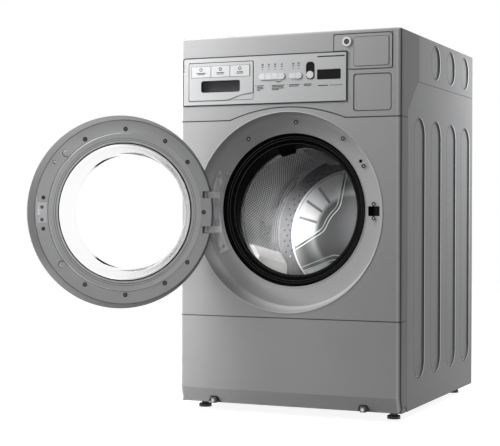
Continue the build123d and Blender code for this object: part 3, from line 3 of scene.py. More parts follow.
import bmesh
import bpy
from mathutils import Matrix, Vector


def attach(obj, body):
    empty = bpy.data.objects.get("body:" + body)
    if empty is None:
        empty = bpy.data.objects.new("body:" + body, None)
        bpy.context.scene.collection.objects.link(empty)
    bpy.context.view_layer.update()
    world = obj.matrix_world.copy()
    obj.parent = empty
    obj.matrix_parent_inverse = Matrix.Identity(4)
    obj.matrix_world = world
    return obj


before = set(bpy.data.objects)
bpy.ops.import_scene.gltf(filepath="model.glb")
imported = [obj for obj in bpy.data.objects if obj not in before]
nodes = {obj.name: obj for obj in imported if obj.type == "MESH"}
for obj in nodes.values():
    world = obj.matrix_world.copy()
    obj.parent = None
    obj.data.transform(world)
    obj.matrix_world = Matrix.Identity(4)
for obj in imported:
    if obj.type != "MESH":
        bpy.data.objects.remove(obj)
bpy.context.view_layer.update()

# The camera's place. The machine is seen from its front right corner, at half its height and through
# a long lens.
view = bpy.data.cameras.new("view")
view.sensor_width = 36.0
view.lens = 96.98
camera = bpy.data.objects.new("view", view)
camera.location = (1.468, -3.970, 0.580)
camera.rotation_euler = (math.radians(89.62), math.radians(-0.15), math.radians(23.84))
bpy.context.scene.collection.objects.link(camera)
bpy.context.scene.camera = camera
bpy.context.scene.view_settings.view_transform = "Standard"


# The studio is an even, dim sky with soft boxes in it: three to the left of the front, one high on
# the right, one behind on the right, and narrow ones that reach into the drum and onto the door.
class Wire:
    """A value in a shader. Its operators add Math nodes, and node() adds a node of any kind."""

    def __init__(self, tree, socket=None):
        self.tree = tree
        self.socket = socket

    def node(self, kind, settings=None, values=None, out=0):
        made = self.tree.nodes.new(kind)
        for name, value in (settings or {}).items():
            setattr(made, name, value)
        for name, value in (values or {}).items():
            if isinstance(value, Wire):
                self.tree.links.new(value.socket, made.inputs[name])
            else:
                made.inputs[name].default_value = value
        return Wire(self.tree, made.outputs[out])

    def math(self, operation, *values):
        return self.node("ShaderNodeMath", {"operation": operation}, dict(enumerate(values)))

    def __add__(self, other):
        return self.math("ADD", self, other)

    __radd__ = __add__

    def __sub__(self, other):
        return self.math("SUBTRACT", self, other)

    def __rsub__(self, other):
        return self.math("SUBTRACT", other, self)

    def __mul__(self, other):
        return self.math("MULTIPLY", self, other)

    __rmul__ = __mul__

    def __truediv__(self, other):
        return self.math("DIVIDE", self, other)

    def __abs__(self):
        return self.math("ABSOLUTE", self)

    def most(self, other):
        return self.math("MAXIMUM", self, other)

    def least(self, other):
        return self.math("MINIMUM", self, other)

    def sine(self):
        return self.math("SINE", self)

    def hypot(self, other):
        """The length of a line that goes this far one way and the other value across it."""
        squares = self * self + other * other
        return squares.math("SQRT", squares)

    def in_step(self):
        """-0.5 to 0.5 across each whole step of the value."""
        return self.math("FRACT", self) - 0.5

    def rise(self, low, high):
        """0 up to low, 1 from high on, and a smooth climb between."""
        values = {"Value": self, "From Min": low, "From Max": high}
        return self.node("ShaderNodeMapRange", {"interpolation_type": "SMOOTHSTEP"}, values)


def meets_paper(tree):
    """1 for the rays that meet white paper: the camera's, mirrored ones and those through glass."""
    meets = Wire(tree).node("ShaderNodeLightPath", out="Is Camera Ray")
    for ray in ("Is Glossy Ray", "Is Transmission Ray"):
        meets = meets.most(meets.node("ShaderNodeLightPath", out=ray))
    return meets


sky_level = 0.13
studio = bpy.data.worlds.new("studio")
studio.use_nodes = True
bpy.context.scene.world = studio
sky = studio.node_tree.nodes["Background"]
sky.inputs["Color"].default_value = (1.0, 1.0, 1.0, 1.0)
sky_strength = sky_level + (1.0 - sky_level) * meets_paper(studio.node_tree)
studio.node_tree.links.new(sky_strength.socket, sky.inputs["Strength"])


def lamp(name, place, aim, size, power, spread=180.0):
    """A soft box that faces a point, with its width and height. A small spread makes it a snoot."""
    light = bpy.data.lights.new(name, "AREA")
    light.shape = "RECTANGLE"
    light.size, light.size_y = size
    light.energy = power
    light.spread = math.radians(spread)
    box = bpy.data.objects.new(name, light)
    box.location = place
    box.rotation_euler = (Vector(aim) - Vector(place)).to_track_quat("-Z", "Y").to_euler()
    box.visible_glossy = False
    box.visible_camera = False
    box.visible_transmission = False
    bpy.context.scene.collection.objects.link(box)


lamp("upper_left_box", (-0.70, -0.75, 1.75), (-0.30, -0.39, 1.00), (0.3, 0.6), 21.0)
lamp("left_strip", (-1.40, -1.00, 1.00), (-0.10, -0.39, 0.75), (0.3, 1.3), 15.0)
lamp("low_left_box", (-0.80, -0.85, 0.08), (-0.20, -0.39, 0.30), (0.3, 0.3), 3.6)
lamp("right_box", (1.50, -0.90, 2.20), (-0.30, -0.60, 0.95), (0.6, 0.6), 5.2)
lamp("rear_box", (0.95, 0.85, 1.15), (0.34, 0.36, 0.75), (0.4, 0.6), 17.0)
lamp("drum_snoot", (0.95, -2.60, 0.85), (-0.01, -0.34, 0.575), (0.10, 0.10), 0.8, spread=6.0)
lamp("drum_fill", (-0.25, -3.20, 0.80), (0.03, -0.34, 0.585), (0.10, 0.10), 0.75, spread=5.6)
lamp("door_box", (0.60, -3.20, 1.30), (-0.46, -0.60, 0.585), (0.30, 0.30), 0.20, spread=13.0)

# The floor is a sheet of white paper far larger than the machine, and keeps the machine's shadow. It
# lies a hair under the feet.
paper_size, paper_drop, paper_level, shadow_level = 14.0, 0.001, 0.90, 0.35
bpy.ops.object.select_all(action="DESELECT")
bpy.ops.mesh.primitive_plane_add(size=paper_size, location=(0.0, 0.0, -paper_drop))
floor = bpy.context.object
floor.name = "floor"
paper = bpy.data.materials.new("paper")
paper.use_nodes = True
paper_shader = paper.node_tree.nodes["Principled BSDF"]
paper_shader.inputs["Base Color"].default_value = (shadow_level, shadow_level, shadow_level, 1.0)
paper_shader.inputs["Roughness"].default_value = 0.9
paper_shader.inputs["Emission Color"].default_value = (1.0, 1.0, 1.0, 1.0)
paper_strength = paper_level * meets_paper(paper.node_tree)
paper.node_tree.links.new(paper_strength.socket, paper_shader.inputs["Emission Strength"])
floor.data.materials.append(paper)

# The casing is folded from sheet steel and powder coated a metallic grey, and so is its frame. Four
# long beads are pressed into each side and three ovals into each skirt of the lid. The rear is
# galvanised and bare.
middle_depth, standing = 390.0, 24.0


def at(x, depth, height):
    """A place from millimetres right of the middle, behind the front and above the casing's edge."""
    return Vector((x / 1000.0, (depth - middle_depth) / 1000.0, (height + standing) / 1000.0))


def surface(name, **constants):
    """A new material whose shader sockets hold these numbers and colours, and its coordinates."""
    made = bpy.data.materials.new(name)
    made.use_nodes = True
    shader = made.node_tree.nodes["Principled BSDF"]
    for socket, value in constants.items():
        shader.inputs[socket.replace("_", " ")].default_value = value
    place = Wire(made.node_tree).node("ShaderNodeTexCoord", out="Object")
    return made, place


def feeds(material, **varying):
    """Links what changes over the surface to the shader's sockets."""
    shader = material.node_tree.nodes["Principled BSDF"]
    for socket, wire in varying.items():
        material.node_tree.links.new(wire.socket, shader.inputs[socket.replace("_", " ")])


def dress(material, *names):
    """Gives CAD nodes their finish."""
    for name in names:
        nodes[name].data.materials[0] = material


def apart(place):
    """The three coordinates one by one."""
    return [place.node("ShaderNodeSeparateXYZ", {}, {0: place}, out=letter) for letter in "XYZ"]


def noise(place, scale, detail=2.0, stretch=(1.0, 1.0, 1.0)):
    """Cloudy noise from 0 to 1, finer with a larger scale."""
    drawn = place.node("ShaderNodeVectorMath", {"operation": "MULTIPLY"}, {0: place, 1: stretch})
    values = {"Vector": drawn, "Scale": scale, "Detail": detail}
    return place.node("ShaderNodeTexNoise", {}, values)


def between(share, low, high):
    """A colour that goes from low to high with share."""
    ends = {0: share}
    for socket, colour in ((6, low), (7, high)):
        ends[socket] = colour if isinstance(colour, Wire) else (*colour, 1.0)
    return share.node("ShaderNodeMix", {"data_type": "RGBA"}, ends, out=2)


def bump(height, depth, edge=0.0012):
    """A normal for a height of 0 to 1 that stands for depth metres, with edges rounded a little."""
    folded = height.node("ShaderNodeBevel", {"samples": 4}, {"Radius": edge}, out="Normal")
    values = {"Height": height, "Distance": depth, "Normal": folded}
    return height.node("ShaderNodeBump", {}, values)


def to_outline(place, left, right, low, high, corner, side=False):
    """How far a point is from a rounded rectangle's line on the front or on a side, in metres."""
    x, y, z = apart(place)
    middle = at((left + right) / 2, (left + right) / 2, (low + high) / 2)
    across = y - middle.y if side else x - middle.x
    across = abs(across) - ((right - left) / 2 - corner) / 1000.0
    up = abs(z - middle.z) - ((high - low) / 2 - corner) / 1000.0
    outside = across.most(0.0).hypot(up.most(0.0))
    inside = across.most(up).least(0.0)
    return abs(outside + inside - corner / 1000.0)


def line_share(place, lines):
    """1 on the nearest of some lines and 0 away from them. Each line has the function that gives its
    distance, its reach, and its sizes."""
    share = None
    for distance, reach, *sizes in lines:
        here = 1.0 - distance(place, *sizes).rise(0.35 * reach, reach)
        share = here if share is None else share.most(here)
    return share


# The strength and colour of the painted shade along joins, and of the painted highlights on bends.
shade_strength, seam_shade = 0.92, (0.03, 0.03, 0.032)
glint_strength, glint_light = 0.8, (0.80, 0.80, 0.81)
slope_start, slope_end = 8, 40


def painted(name, dark, light, rough, shade_lines=(), glints=(), deep=0.0):
    """The metallic coat with fine flake in it. Dark lines of painted shade run along its joins and
    the outlines of its pressings, and pale lines of painted highlight along its bends. Deep paints
    light into the door's recess, which makes the coat paler there."""
    made, place = surface(name, Metallic=0.03, Specular_IOR_Level=0.15)
    flake, cloud = noise(place, 900.0, 3.0), noise(place, 6.0, 3.0)
    coat = between(0.5 * flake + 0.5 * cloud, dark, light)
    if deep:
        inward = apart(place)[1].rise(at(0, slope_start, 0).y, at(0, slope_end, 0).y)
        coat = between(inward, coat, tuple(deep * value for value in light))
    if glints:
        coat = between(glint_strength * line_share(place, glints), coat, glint_light)
    if shade_lines:
        coat = between(shade_strength * line_share(place, shade_lines), coat, seam_shade)
    roughness = rough + 0.14 * (flake - 0.5)
    feeds(made, Base_Color=coat, Roughness=roughness, Normal=bump(flake, 0.00004))
    return made


bead_depths, bead_half, bead_low, bead_high = (179, 349, 519, 687), 50, 84, 834
oval_depths, oval_half, oval_low, oval_high = (345, 512, 678), 44, 960, 1060
shade_reach, catch_reach, catch_behind = 0.0034, 0.0030, 6
pressings = [(depth, bead_half, bead_low, bead_high) for depth in bead_depths]
pressings += [(depth, oval_half, oval_low, oval_high) for depth in oval_depths]
# Each pressing gets painted shade along its outline and a painted highlight along the same outline
# set a little rearward.
bead_shade, bead_highlights = [], []
for depth, half, low, high in pressings:
    front, back = depth - half, depth + half
    bead_shade.append((to_outline, shade_reach, front, back, low, high, half, True))
    front, back = front + catch_behind, back + catch_behind
    bead_highlights.append((to_outline, catch_reach, front, back, low, high, half, True))
side_paint = painted("side_paint", (0.185, 0.186, 0.19), (0.235, 0.236, 0.24), 0.50, bead_shade, bead_highlights)
dress(side_paint, "side_panel_left", "side_panel_right", "top_cover", "base_frame")


def rolled(name, colour, rough, grain, metallic=1.0):
    """Bare steel with the faint lines that rolling leaves along one way."""
    made, place = surface(name, Metallic=metallic)
    lines, cloud = noise(place, grain, 4.0, (1.0, 1.0, 0.04)), noise(place, 12.0, 4.0)
    share = 0.5 * lines + 0.5 * cloud
    low = tuple(0.82 * value for value in colour)
    high = tuple(min(1.12 * value, 1.0) for value in colour)
    roughness = rough + 0.18 * (share - 0.5)
    feeds(made, Base_Color=between(share, low, high), Roughness=roughness)
    feeds(made, Normal=bump(lines, 0.00003, 0.0006))
    return made


zinc = rolled("galvanised_steel", (0.50, 0.51, 0.52), 0.42, 240.0)
dress(zinc, "rear_panel", "service_cover", "casing_screws")

# The front is three painted pressings: the console above an arched seam, the panel with the door's
# round recess, and the kick panel. Painted shade draws their joins and the outlines of the covers as
# dark lines, and painted highlights draw their folded sides as pale ones.
arch_foot, arch_half, arch_crown, kick_seam = 829.0, 178.0, 863.5, 257.0
panel_side, right_fold, left_fold = 341.0, 334.0, -337.0


def to_arch(place):
    """The distance to the seam under the console, which rises in an arc over the door."""
    x, _, z = apart(place)
    rise = arch_crown - arch_foot
    radius = (arch_half ** 2 + rise ** 2) / (2 * rise)
    centre = at(0, 0, arch_crown - radius)
    from_arc = x.hypot(z - centre.z) - radius / 1000.0
    from_line = z - at(0, 0, arch_foot).z
    beyond = (abs(x) - arch_half / 1000.0).rise(-0.0005, 0.0005)
    return abs(from_arc) * (1.0 - beyond) + abs(from_line) * beyond


def to_level(place, height):
    """The distance to a seam that runs level."""
    return abs(apart(place)[2] - at(0, 0, height).z)


def to_upright(place, x):
    """The distance to a line that runs up the front, as its folded sides do."""
    return abs(apart(place)[0] - at(x, 0, 0).x)


access_edge, access_step = (144, 317, 964, 1063, 9), (204, 307, 972, 1054, 8)
blank_edge, insert_gap = (204, 313, 847, 949, 9), (-331, 183, 875, 1015, 8)
front_seam_shade = [(to_arch, 0.0024), (to_level, 0.0020, kick_seam), (to_upright, 0.0022, panel_side),
               (to_outline, 0.0014, *access_edge), (to_outline, 0.0016, *blank_edge),
               (to_outline, 0.0010, *access_step), (to_outline, 0.0026, *insert_gap)]
front_glints = [(to_upright, 0.0050, right_fold), (to_upright, 0.0040, left_fold)]
front_grey = (0.37, 0.37, 0.375), (0.45, 0.45, 0.455)
# The coat is made paler inside the door's recess as painted light.
front_paint = painted("front_paint", *front_grey, 0.42, front_seam_shade, front_glints, deep=1.22)
dress(front_paint, "fascia", "front_panel", "kick_panel", "blank_cover", "access_panel")

# The insert of the console is a silver plastic moulding, let into the fascia with a fine gap all
# round. The detergent drawer's front stands in it behind a gap of its own. Painted shade draws both
# gaps as dark lines.
drawer_gap, insert_edge = (-311, -104, 889, 1000, 5), (-330.5, 182.5, 875.5, 1014.5, 3)
insert_seam_shade = [(to_outline, 0.0012, *drawer_gap), (to_outline, 0.0022, *insert_edge)]
insert_silver = painted("insert_silver", (0.50, 0.505, 0.51), (0.57, 0.575, 0.58), 0.40,
                        insert_seam_shade)
dress(insert_silver, "control_insert", "drawer_front")

# The buttons are pale plastic keys in a bar and a pill, and the round start key stands in a black
# pill. Dots, rings and short rules are printed on the insert in dark ink, where such a machine has
# its marks.
facing_front = (math.radians(90.0), 0.0, 0.0)
ink_thickness = 0.15


def grained(name, dark, light, rough, spread, grain, depth, metallic=0.0, **more):
    """A coated or moulded finish: slow mottle in its colour, fine grain in its gloss and relief."""
    made, place = surface(name, Metallic=metallic, **more)
    fine, slow = noise(place, grain, 3.0), noise(place, 7.0, 3.0)
    feeds(made, Base_Color=between(0.55 * fine + 0.45 * slow, dark, light))
    feeds(made, Roughness=rough + spread * (fine - 0.5), Normal=bump(fine, depth))
    return made


def begin(add, **how):
    """One of Blender's starting shapes, alone in the selection."""
    bpy.ops.object.select_all(action="DESELECT")
    add(**how)
    return bpy.context.object


def stretch(piece, *scale):
    """Makes a new shape longer or shorter in its own three directions."""
    piece.scale = scale
    bpy.ops.object.transform_apply(location=False, rotation=False, scale=True)


def gather(pieces):
    """Joins pieces that are one part into one object."""
    bpy.ops.object.select_all(action="DESELECT")
    for piece in pieces:
        piece.select_set(True)
    bpy.context.view_layer.objects.active = pieces[0]
    bpy.ops.object.join()
    return bpy.context.object


smooth_limit = math.radians(35.0)


def settle(piece, name, material, body):
    """Puts a piece's place into its mesh, and gives it its name, finish and body."""
    bpy.ops.object.select_all(action="DESELECT")
    piece.select_set(True)
    bpy.context.view_layer.objects.active = piece
    bpy.ops.object.transform_apply(location=True, rotation=True, scale=True)
    bpy.ops.object.shade_smooth_by_angle(angle=smooth_limit)
    piece.name = name
    piece.data.materials.clear()
    piece.data.materials.append(material)
    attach(piece, body)


def raise_ink():
    """Lifts the selected faces off the front by the ink's thickness, and ends the edit."""
    lift = {"value": (0.0, -ink_thickness / 1000.0, 0.0)}
    bpy.ops.mesh.extrude_region_move(TRANSFORM_OT_translate=lift)
    bpy.ops.object.mode_set(mode="OBJECT")


def rule(x, height, wide, high, depth):
    """A short printed bar on the front."""
    place = at(x, depth, height)
    bar = begin(bpy.ops.mesh.primitive_plane_add, size=1.0, location=place, rotation=facing_front)
    stretch(bar, wide / 1000.0, high / 1000.0, 1.0)
    bpy.ops.object.mode_set(mode="EDIT")
    raise_ink()
    return bar


def disc(x, height, radius, depth, sides=20, hole=0.0):
    """A printed dot, or a ring where it has a hole. With few sides it is a triangle or a square."""
    dot = begin(bpy.ops.mesh.primitive_circle_add, vertices=sides, radius=radius / 1000.0,
                fill_type="NGON", location=at(x, depth, height), rotation=facing_front)
    bpy.ops.object.mode_set(mode="EDIT")
    if hole:
        bpy.ops.mesh.inset(thickness=(radius - hole) / 1000.0)
        bpy.ops.mesh.delete(type="FACE")
        bpy.ops.mesh.select_all(action="SELECT")
    raise_ink()
    return dot


key_white = grained("key_white", (0.66, 0.66, 0.67), (0.72, 0.72, 0.73), 0.34, 0.10, 1200.0,
                    0.00002)
keys = [f"cycle_button_{n}" for n in range(1, 5)] + [f"option_button_{n}" for n in range(1, 3)]
dress(key_white, "start_button", *keys)
ink_and_shade = grained("ink_and_shade", (0.012, 0.012, 0.013), (0.025, 0.025, 0.027), 0.5, 0.10, 1500.0, 0.000005)

insert_face = -2.0
dot_height, ring_height, dash_height = 973.0, 987.0, 980.5
key_marks = [(-74.3, 32), (-54.9, 4), (-35.3, 6), (-14.3, 3), (20.9, 4), (37.6, 32)]
prints = []
for x, sides in key_marks:
    prints.append(disc(x, dot_height, 1.5, insert_face))
    prints.append(disc(x, ring_height, 3.3, insert_face, sides, hole=1.7))
    prints.append(rule(x, dash_height, 8.0, 1.5, insert_face))
caption_top, line_pitch, line_lengths = 926.9, 4.2, (1.0, 0.9, 0.95, 0.55)
captions = [(-92.5, 22, 4), (-45.5, 40, 4), (8.0, 33, 2), (53.5, 24, 2)]
for start, wide, lines in captions:
    prints.append(disc(start - 5.5, caption_top + 0.6, 1.6, insert_face, 3))
    for line, share in enumerate(line_lengths[:lines]):
        height, length = caption_top - line_pitch * line, wide * share
        prints.append(rule(start + length / 2, height, length, 2.2, insert_face))
start_mark, display_middle, tick_left, tick_right = -24.3, 136.0, 112.0, 151.0
prints.append(rule(start_mark, 937.0, 18.0, 1.5, insert_face))
prints.append(disc(start_mark, 935.6, 2.3, insert_face, 16, hole=1.3))
prints.append(rule(display_middle, 1003.5, 82.0, 3.6, insert_face))
prints.append(rule(tick_left, 921.5, 30.0, 2.6, insert_face))
prints.append(rule(tick_right, 921.5, 40.0, 1.4, insert_face))
settle(gather(prints), "console_marks", ink_and_shade, "casing")

# The display's window and the start key's pill are glossy black plastic let into the insert. The
# door's lock is a box of the same plastic in the recess.
black_gloss = grained("black_gloss", (0.006, 0.006, 0.007), (0.012, 0.012, 0.013), 0.16, 0.06,
                      600.0, 0.00001, Specular_IOR_Level=0.12)
dress(black_gloss, "display_lens", "door_lock")

# The detergent drawer's front carries three numbered label plates over its pull, which is a dark
# glossy cup. Behind the front slides a white tray with three compartments.
label_white = grained("label_white", (0.60, 0.605, 0.61), (0.66, 0.665, 0.67), 0.30, 0.10,
                      1400.0, 0.00001)
tray_white = grained("tray_white", (0.70, 0.71, 0.72), (0.78, 0.79, 0.80), 0.40, 0.10, 900.0,
                     0.00003)
pull_dark = grained("pull_dark", (0.045, 0.045, 0.048), (0.085, 0.085, 0.09), 0.20, 0.10, 300.0,
                    0.00002, metallic=0.2, Specular_IOR_Level=0.15)
dress(label_white, "drawer_labels")
dress(tray_white, "drawer_tray", "dispenser_housing", "inlet_valve")
drawer_face, label_face, number_thickness = -3.0, -3.6, 0.1


def number(text, x, height, size, depth):
    """A plain number in ink."""
    bpy.ops.object.select_all(action="DESELECT")
    bpy.ops.object.text_add(location=at(x, depth, height), rotation=facing_front)
    sign = bpy.context.object
    sign.data.body = text
    sign.data.size = size / 1000.0
    sign.data.align_x = "CENTER"
    sign.data.align_y = "CENTER"
    sign.data.extrude = number_thickness / 1000.0
    bpy.ops.object.convert(target="MESH")
    return bpy.context.object


number_height, upper_line, lower_line, label_middle = 980.6, 970.2, 966.2, 973.6
prints = []
for count, x in enumerate((-271.5, -208.5, -146.0)):
    prints.append(disc(x, number_height, 5.2, label_face, 24, hole=3.6))
    prints.append(number(str(count + 1), x, number_height, 6.0, label_face))
    prints.append(rule(x, upper_line, 30.0 - 5.0 * count, 2.2, label_face))
    prints.append(rule(x, lower_line, 22.0, 1.8, label_face))
for x, wide in ((-239.3, 1.3), (-178.0, 1.6)):
    prints.append(rule(x, label_middle, wide, 32.0, label_face))
settle(gather(prints), "drawer_marks", ink_and_shade, "drawer")

edges = [rule(-208.6, height, 188.5, 0.9, drawer_face) for height in (957.2, 990.0)]
for x, wide in ((-302.9, 0.9), (-114.3, 1.8)):
    edges.append(rule(x, label_middle, wide, 33.0, drawer_face))
settle(gather(edges), "label_edges", ink_and_shade, "drawer")


def pick(piece, test):
    """In edit mode, selects the faces whose middle and normal pass a test, and nothing else."""
    bpy.ops.object.mode_set(mode="EDIT")
    bpy.ops.mesh.select_mode(type="FACE")
    bpy.ops.mesh.select_all(action="DESELECT")
    shape = bmesh.from_edit_mesh(piece.data)
    for face in shape.faces:
        if test(face.calc_center_median(), face.normal):
            face.select = True
    shape.select_flush(True)
    bmesh.update_edit_mesh(piece.data)


pull_left, pull_right, pull_low, pull_high, pull_depth = -270.4, -146.6, 913.2, 946.4, 9.8
pull_middle = at((pull_left + pull_right) / 2, (pull_depth + drawer_face) / 2,
                 (pull_low + pull_high) / 2)
cup = begin(bpy.ops.mesh.primitive_cube_add, size=1.0, location=pull_middle)
stretch(cup, (pull_right - pull_left) / 1000.0, (pull_depth - drawer_face) / 1000.0,
        (pull_high - pull_low) / 1000.0)
pick(cup, lambda middle, normal: normal.y > 0.9)
bpy.ops.mesh.bevel(offset=0.006, segments=4)
pick(cup, lambda middle, normal: normal.y < -0.9)
bpy.ops.mesh.delete(type="FACE")
bpy.ops.mesh.select_all(action="SELECT")
bpy.ops.mesh.flip_normals()
bpy.ops.object.mode_set(mode="OBJECT")
settle(cup, "pull_cup", pull_dark, "drawer")

# The access panel's lock is a chromed barrel with a turning plug of darkened steel. A dark ring lies
# round the keyhole.
chrome = rolled("chrome", (0.74, 0.74, 0.75), 0.16, 500.0, 0.85)
dark_steel_and_shade = rolled("dark_steel_and_shade", (0.12, 0.12, 0.125), 0.34, 500.0, 0.3)
dress(chrome, "lock_barrel", "hinge_pins", "drum_bearings")
# The door's screws get the darkened steel too, whose dark also stands in for the shade in their
# holes.
dress(dark_steel_and_shade, "lock_plug", "door_screws")


def hoop(radius, wide, high, place, turn, steps=144):
    """A rail of half-round section, bent into a ring and laid on a face."""
    ring = begin(bpy.ops.mesh.primitive_torus_add, major_radius=radius / 1000.0,
                 minor_radius=wide / 2000.0, major_segments=steps, minor_segments=10,
                 location=place, rotation=turn)
    stretch(ring, 1.0, 1.0, 2.0 * high / wide)
    return ring


plug_x, plug_face, plug_height = 183.3, -3.4, 1042.0
keyhole = hoop(6.6, 4.2, 0.8, at(plug_x, plug_face, plug_height), facing_front, 48)
settle(keyhole, "keyhole_ring", ink_and_shade, "key_lock")

# The gasket is one black rubber moulding between the recess and the tub, with three fine ribs round
# its lip, coloured a paler, glossier copy of the rubber as painted highlight. The edges of the recess
# and of its opening are rolled, and a paler copy of the front's paint on them is painted highlight.
rubber = grained("gasket_rubber", (0.003, 0.003, 0.003), (0.007, 0.007, 0.0075), 0.42, 0.16,
                 700.0, 0.00004, Specular_IOR_Level=0.005)
rib_highlight_rubber = grained("rib_highlight_rubber", (0.010, 0.010, 0.011), (0.016, 0.016, 0.017), 0.22, 0.10,
                     700.0, 0.00002)
edge_highlight_paint = painted("edge_highlight_paint", (0.56, 0.56, 0.57), (0.66, 0.66, 0.67), 0.30)
dress(rubber, "door_gasket", "door_seal")
door_height, opening_height = 561.0, 568.3
lip_wide, lip_high, lip_places = 2.4, 1.4, ((213.0, 60.3), (206.5, 63.1), (194.0, 68.3))
lips = [hoop(radius, lip_wide, lip_high, at(0, depth, opening_height), facing_front)
        for radius, depth in lip_places]
settle(gather(lips), "gasket_ribs", rib_highlight_rubber, "casing")
recess_radius, opening_radius, recess_depth = 289.4, 223.6, 47.8
edges = [hoop(recess_radius, 2.0, 0.9, at(0, -0.2, door_height), facing_front, 180),
         hoop(opening_radius, 1.8, 1.0, at(0, recess_depth, opening_height), facing_front, 180)]
settle(gather(edges), "recess_edges", edge_highlight_paint, "casing")

# Screws hold the recess and the door's lock, and each head sits in a well drawn as a ring of painted
# shade. The bracket of the hinge is polished steel, with a soft sheen painted into its colour as
# streaks of painted reflection, and the door's strike plate is brighter.
screw_depth, screw_places = 45.3, ((261.0, 87.7), (256.7, 122.9), (262.0, 53.8), (254.5, 31.3))
lock_screws_x, lock_screw_rises = 248.0, (-16.0, 24.0)
well_radius, well_high, well_steps = 4.1, 0.5, 28


def around(radius, angle, depth):
    """A place by its distance from the middle of the door and its degrees round it."""
    turn = math.radians(angle)
    return at(radius * math.cos(turn), depth, door_height + radius * math.sin(turn))


well_shade = []
for radius, angle in screw_places:
    place = around(radius, angle, screw_depth)
    well_shade.append(hoop(well_radius, 4.2, well_high, place, facing_front, well_steps))
for rise in lock_screw_rises:
    place = at(lock_screws_x, screw_depth, door_height + rise)
    well_shade.append(hoop(well_radius, 4.0, well_high, place, facing_front, well_steps))
settle(gather(well_shade), "recess_screw_well_shade", ink_and_shade, "casing")
bright_steel_and_highlight = rolled("bright_steel_and_highlight", (0.88, 0.88, 0.89), 0.30, 400.0, 0.05)
dress(bright_steel_and_highlight, "door_strike")
hinge_steel, place = surface("hinge_steel", Metallic=0.15)
painted_sheen = noise(place, 26.0, 3.0, (1.0, 1.0, 0.25)).rise(0.36, 0.64)
feeds(hinge_steel, Base_Color=between(painted_sheen, (0.45, 0.45, 0.455), (0.98, 0.98, 0.99)))
feeds(hinge_steel, Roughness=0.22 + 0.10 * painted_sheen, Normal=bump(painted_sheen, 0.0001))
dress(hinge_steel, "hinge_bracket")

# The drum is stainless steel and falls towards the back. Its wall is rolled from sheet and pierced
# all over with small holes in staggered rows, with beads rolled in before and behind them.
drum_tilt = 8.0
drum_start = at(0, 100, door_height)
tilt = math.radians(drum_tilt)
drum_axis = Vector((0.0, math.cos(tilt), -math.sin(tilt)))
drum_up = Vector((0.0, math.sin(tilt), math.cos(tilt)))
facing_drum = (math.radians(90.0 - drum_tilt), 0.0, 0.0)


def in_drum(radius, angle, along):
    """A place from millimetres off the drum's axis, degrees round it and millimetres along it."""
    turn = math.radians(angle)
    outward = Vector((math.cos(turn), 0.0, 0.0)) + math.sin(turn) * drum_up
    return drum_start + (radius * outward + along * drum_axis) / 1000.0


def drum_place(place):
    """Across, up and along the drum's axis from its start, in metres."""
    x, y, z = apart(place)
    y, z = y - drum_start.y, z - drum_start.z
    return x, y * drum_up.y + z * drum_up.z, y * drum_axis.y + z * drum_axis.z


stainless = rolled("stainless", (0.62, 0.62, 0.63), 0.24, 300.0, 0.9)
dress(stainless, "drum_front_ring")
hole_pitch, wall_radius = 0.0102, 0.253
row_pitch = math.sqrt(3.0)


def to_hole(across, up, along):
    """How far the middle of the nearest hole in the wall is, in pitches."""
    column = across.math("ARCTAN2", up, across) * (wall_radius / hole_pitch)
    row = along / (hole_pitch * row_pitch)
    gaps = []
    for shift in (0.0, 0.5):
        down = (row + shift).in_step() * row_pitch
        gaps.append((column + shift).in_step().hypot(down))
    return gaps[0].least(gaps[1])


def in_hole(nearest):
    """1 inside a hole and 0 on the steel, with a soft edge at about a third of the pitch."""
    return 1.0 - nearest.rise(0.27, 0.35)


pierced, place = surface("pierced_steel", Metallic=0.75)
across, up, along = drum_place(place)
holes_start, holes_end, hole_rim = along.rise(0.088, 0.090), along.rise(0.398, 0.400), 0.40
wall = holes_start * (1.0 - holes_end)
nearest = to_hole(across, up, along)
hole = in_hole(nearest) * wall
# A pale ring of painted highlight lies round each hole's rim, over a slight real relief.
rim_and_highlight = (1.0 - abs(nearest - hole_rim).rise(0.02, 0.12)) * wall
cloud = noise(place, 6.0, 2.0).rise(0.35, 0.65)
steel = between(cloud, (0.34, 0.34, 0.345), (0.72, 0.72, 0.73))
steel = between(0.5 * rim_and_highlight, steel, (0.85, 0.85, 0.86))
steel = between(hole, steel, (0.012, 0.012, 0.013))
feeds(pierced, Base_Color=steel, Roughness=0.26 + 0.12 * cloud)
feeds(pierced, Normal=bump(1.0 - hole + 0.4 * rim_and_highlight, 0.0008))
dress(pierced, "drum_shell")

bead_places = ((250.9, 4.0, 408.0), (250.9, 4.0, 424.0), (251.4, 3.0, 441.0), (251.4, 3.0, 88.0))
beads = [hoop(radius, wide, wide, in_drum(0, 0, along), facing_drum)
         for radius, wide, along in bead_places]
settle(gather(beads), "drum_beads", stainless, "drum")

# Three hollow lifters are folded from bright sheet and fixed to the wall. Two are plain, and the one
# that rests at the top is pierced as the wall is; its steel is painted darker there as painted shade.
lifter_steel, place = surface("lifter_steel", Metallic=0.10)
across, up, along = drum_place(place)
lines, grain = (along * 900.0).sine(), noise(place, 90.0, 3.0)
plain = between(grain, (0.84, 0.84, 0.85), (0.95, 0.95, 0.96))
holed_and_shaded = between(in_hole(to_hole(across, up, along)), (0.30, 0.30, 0.305), (0.02, 0.02, 0.021))
feeds(lifter_steel, Base_Color=between(up.rise(0.10, 0.12), plain, holed_and_shaded))
feeds(lifter_steel, Roughness=0.30 + 0.15 * grain, Normal=bump(lines, 0.0004))
dress(lifter_steel, "drum_lifters")

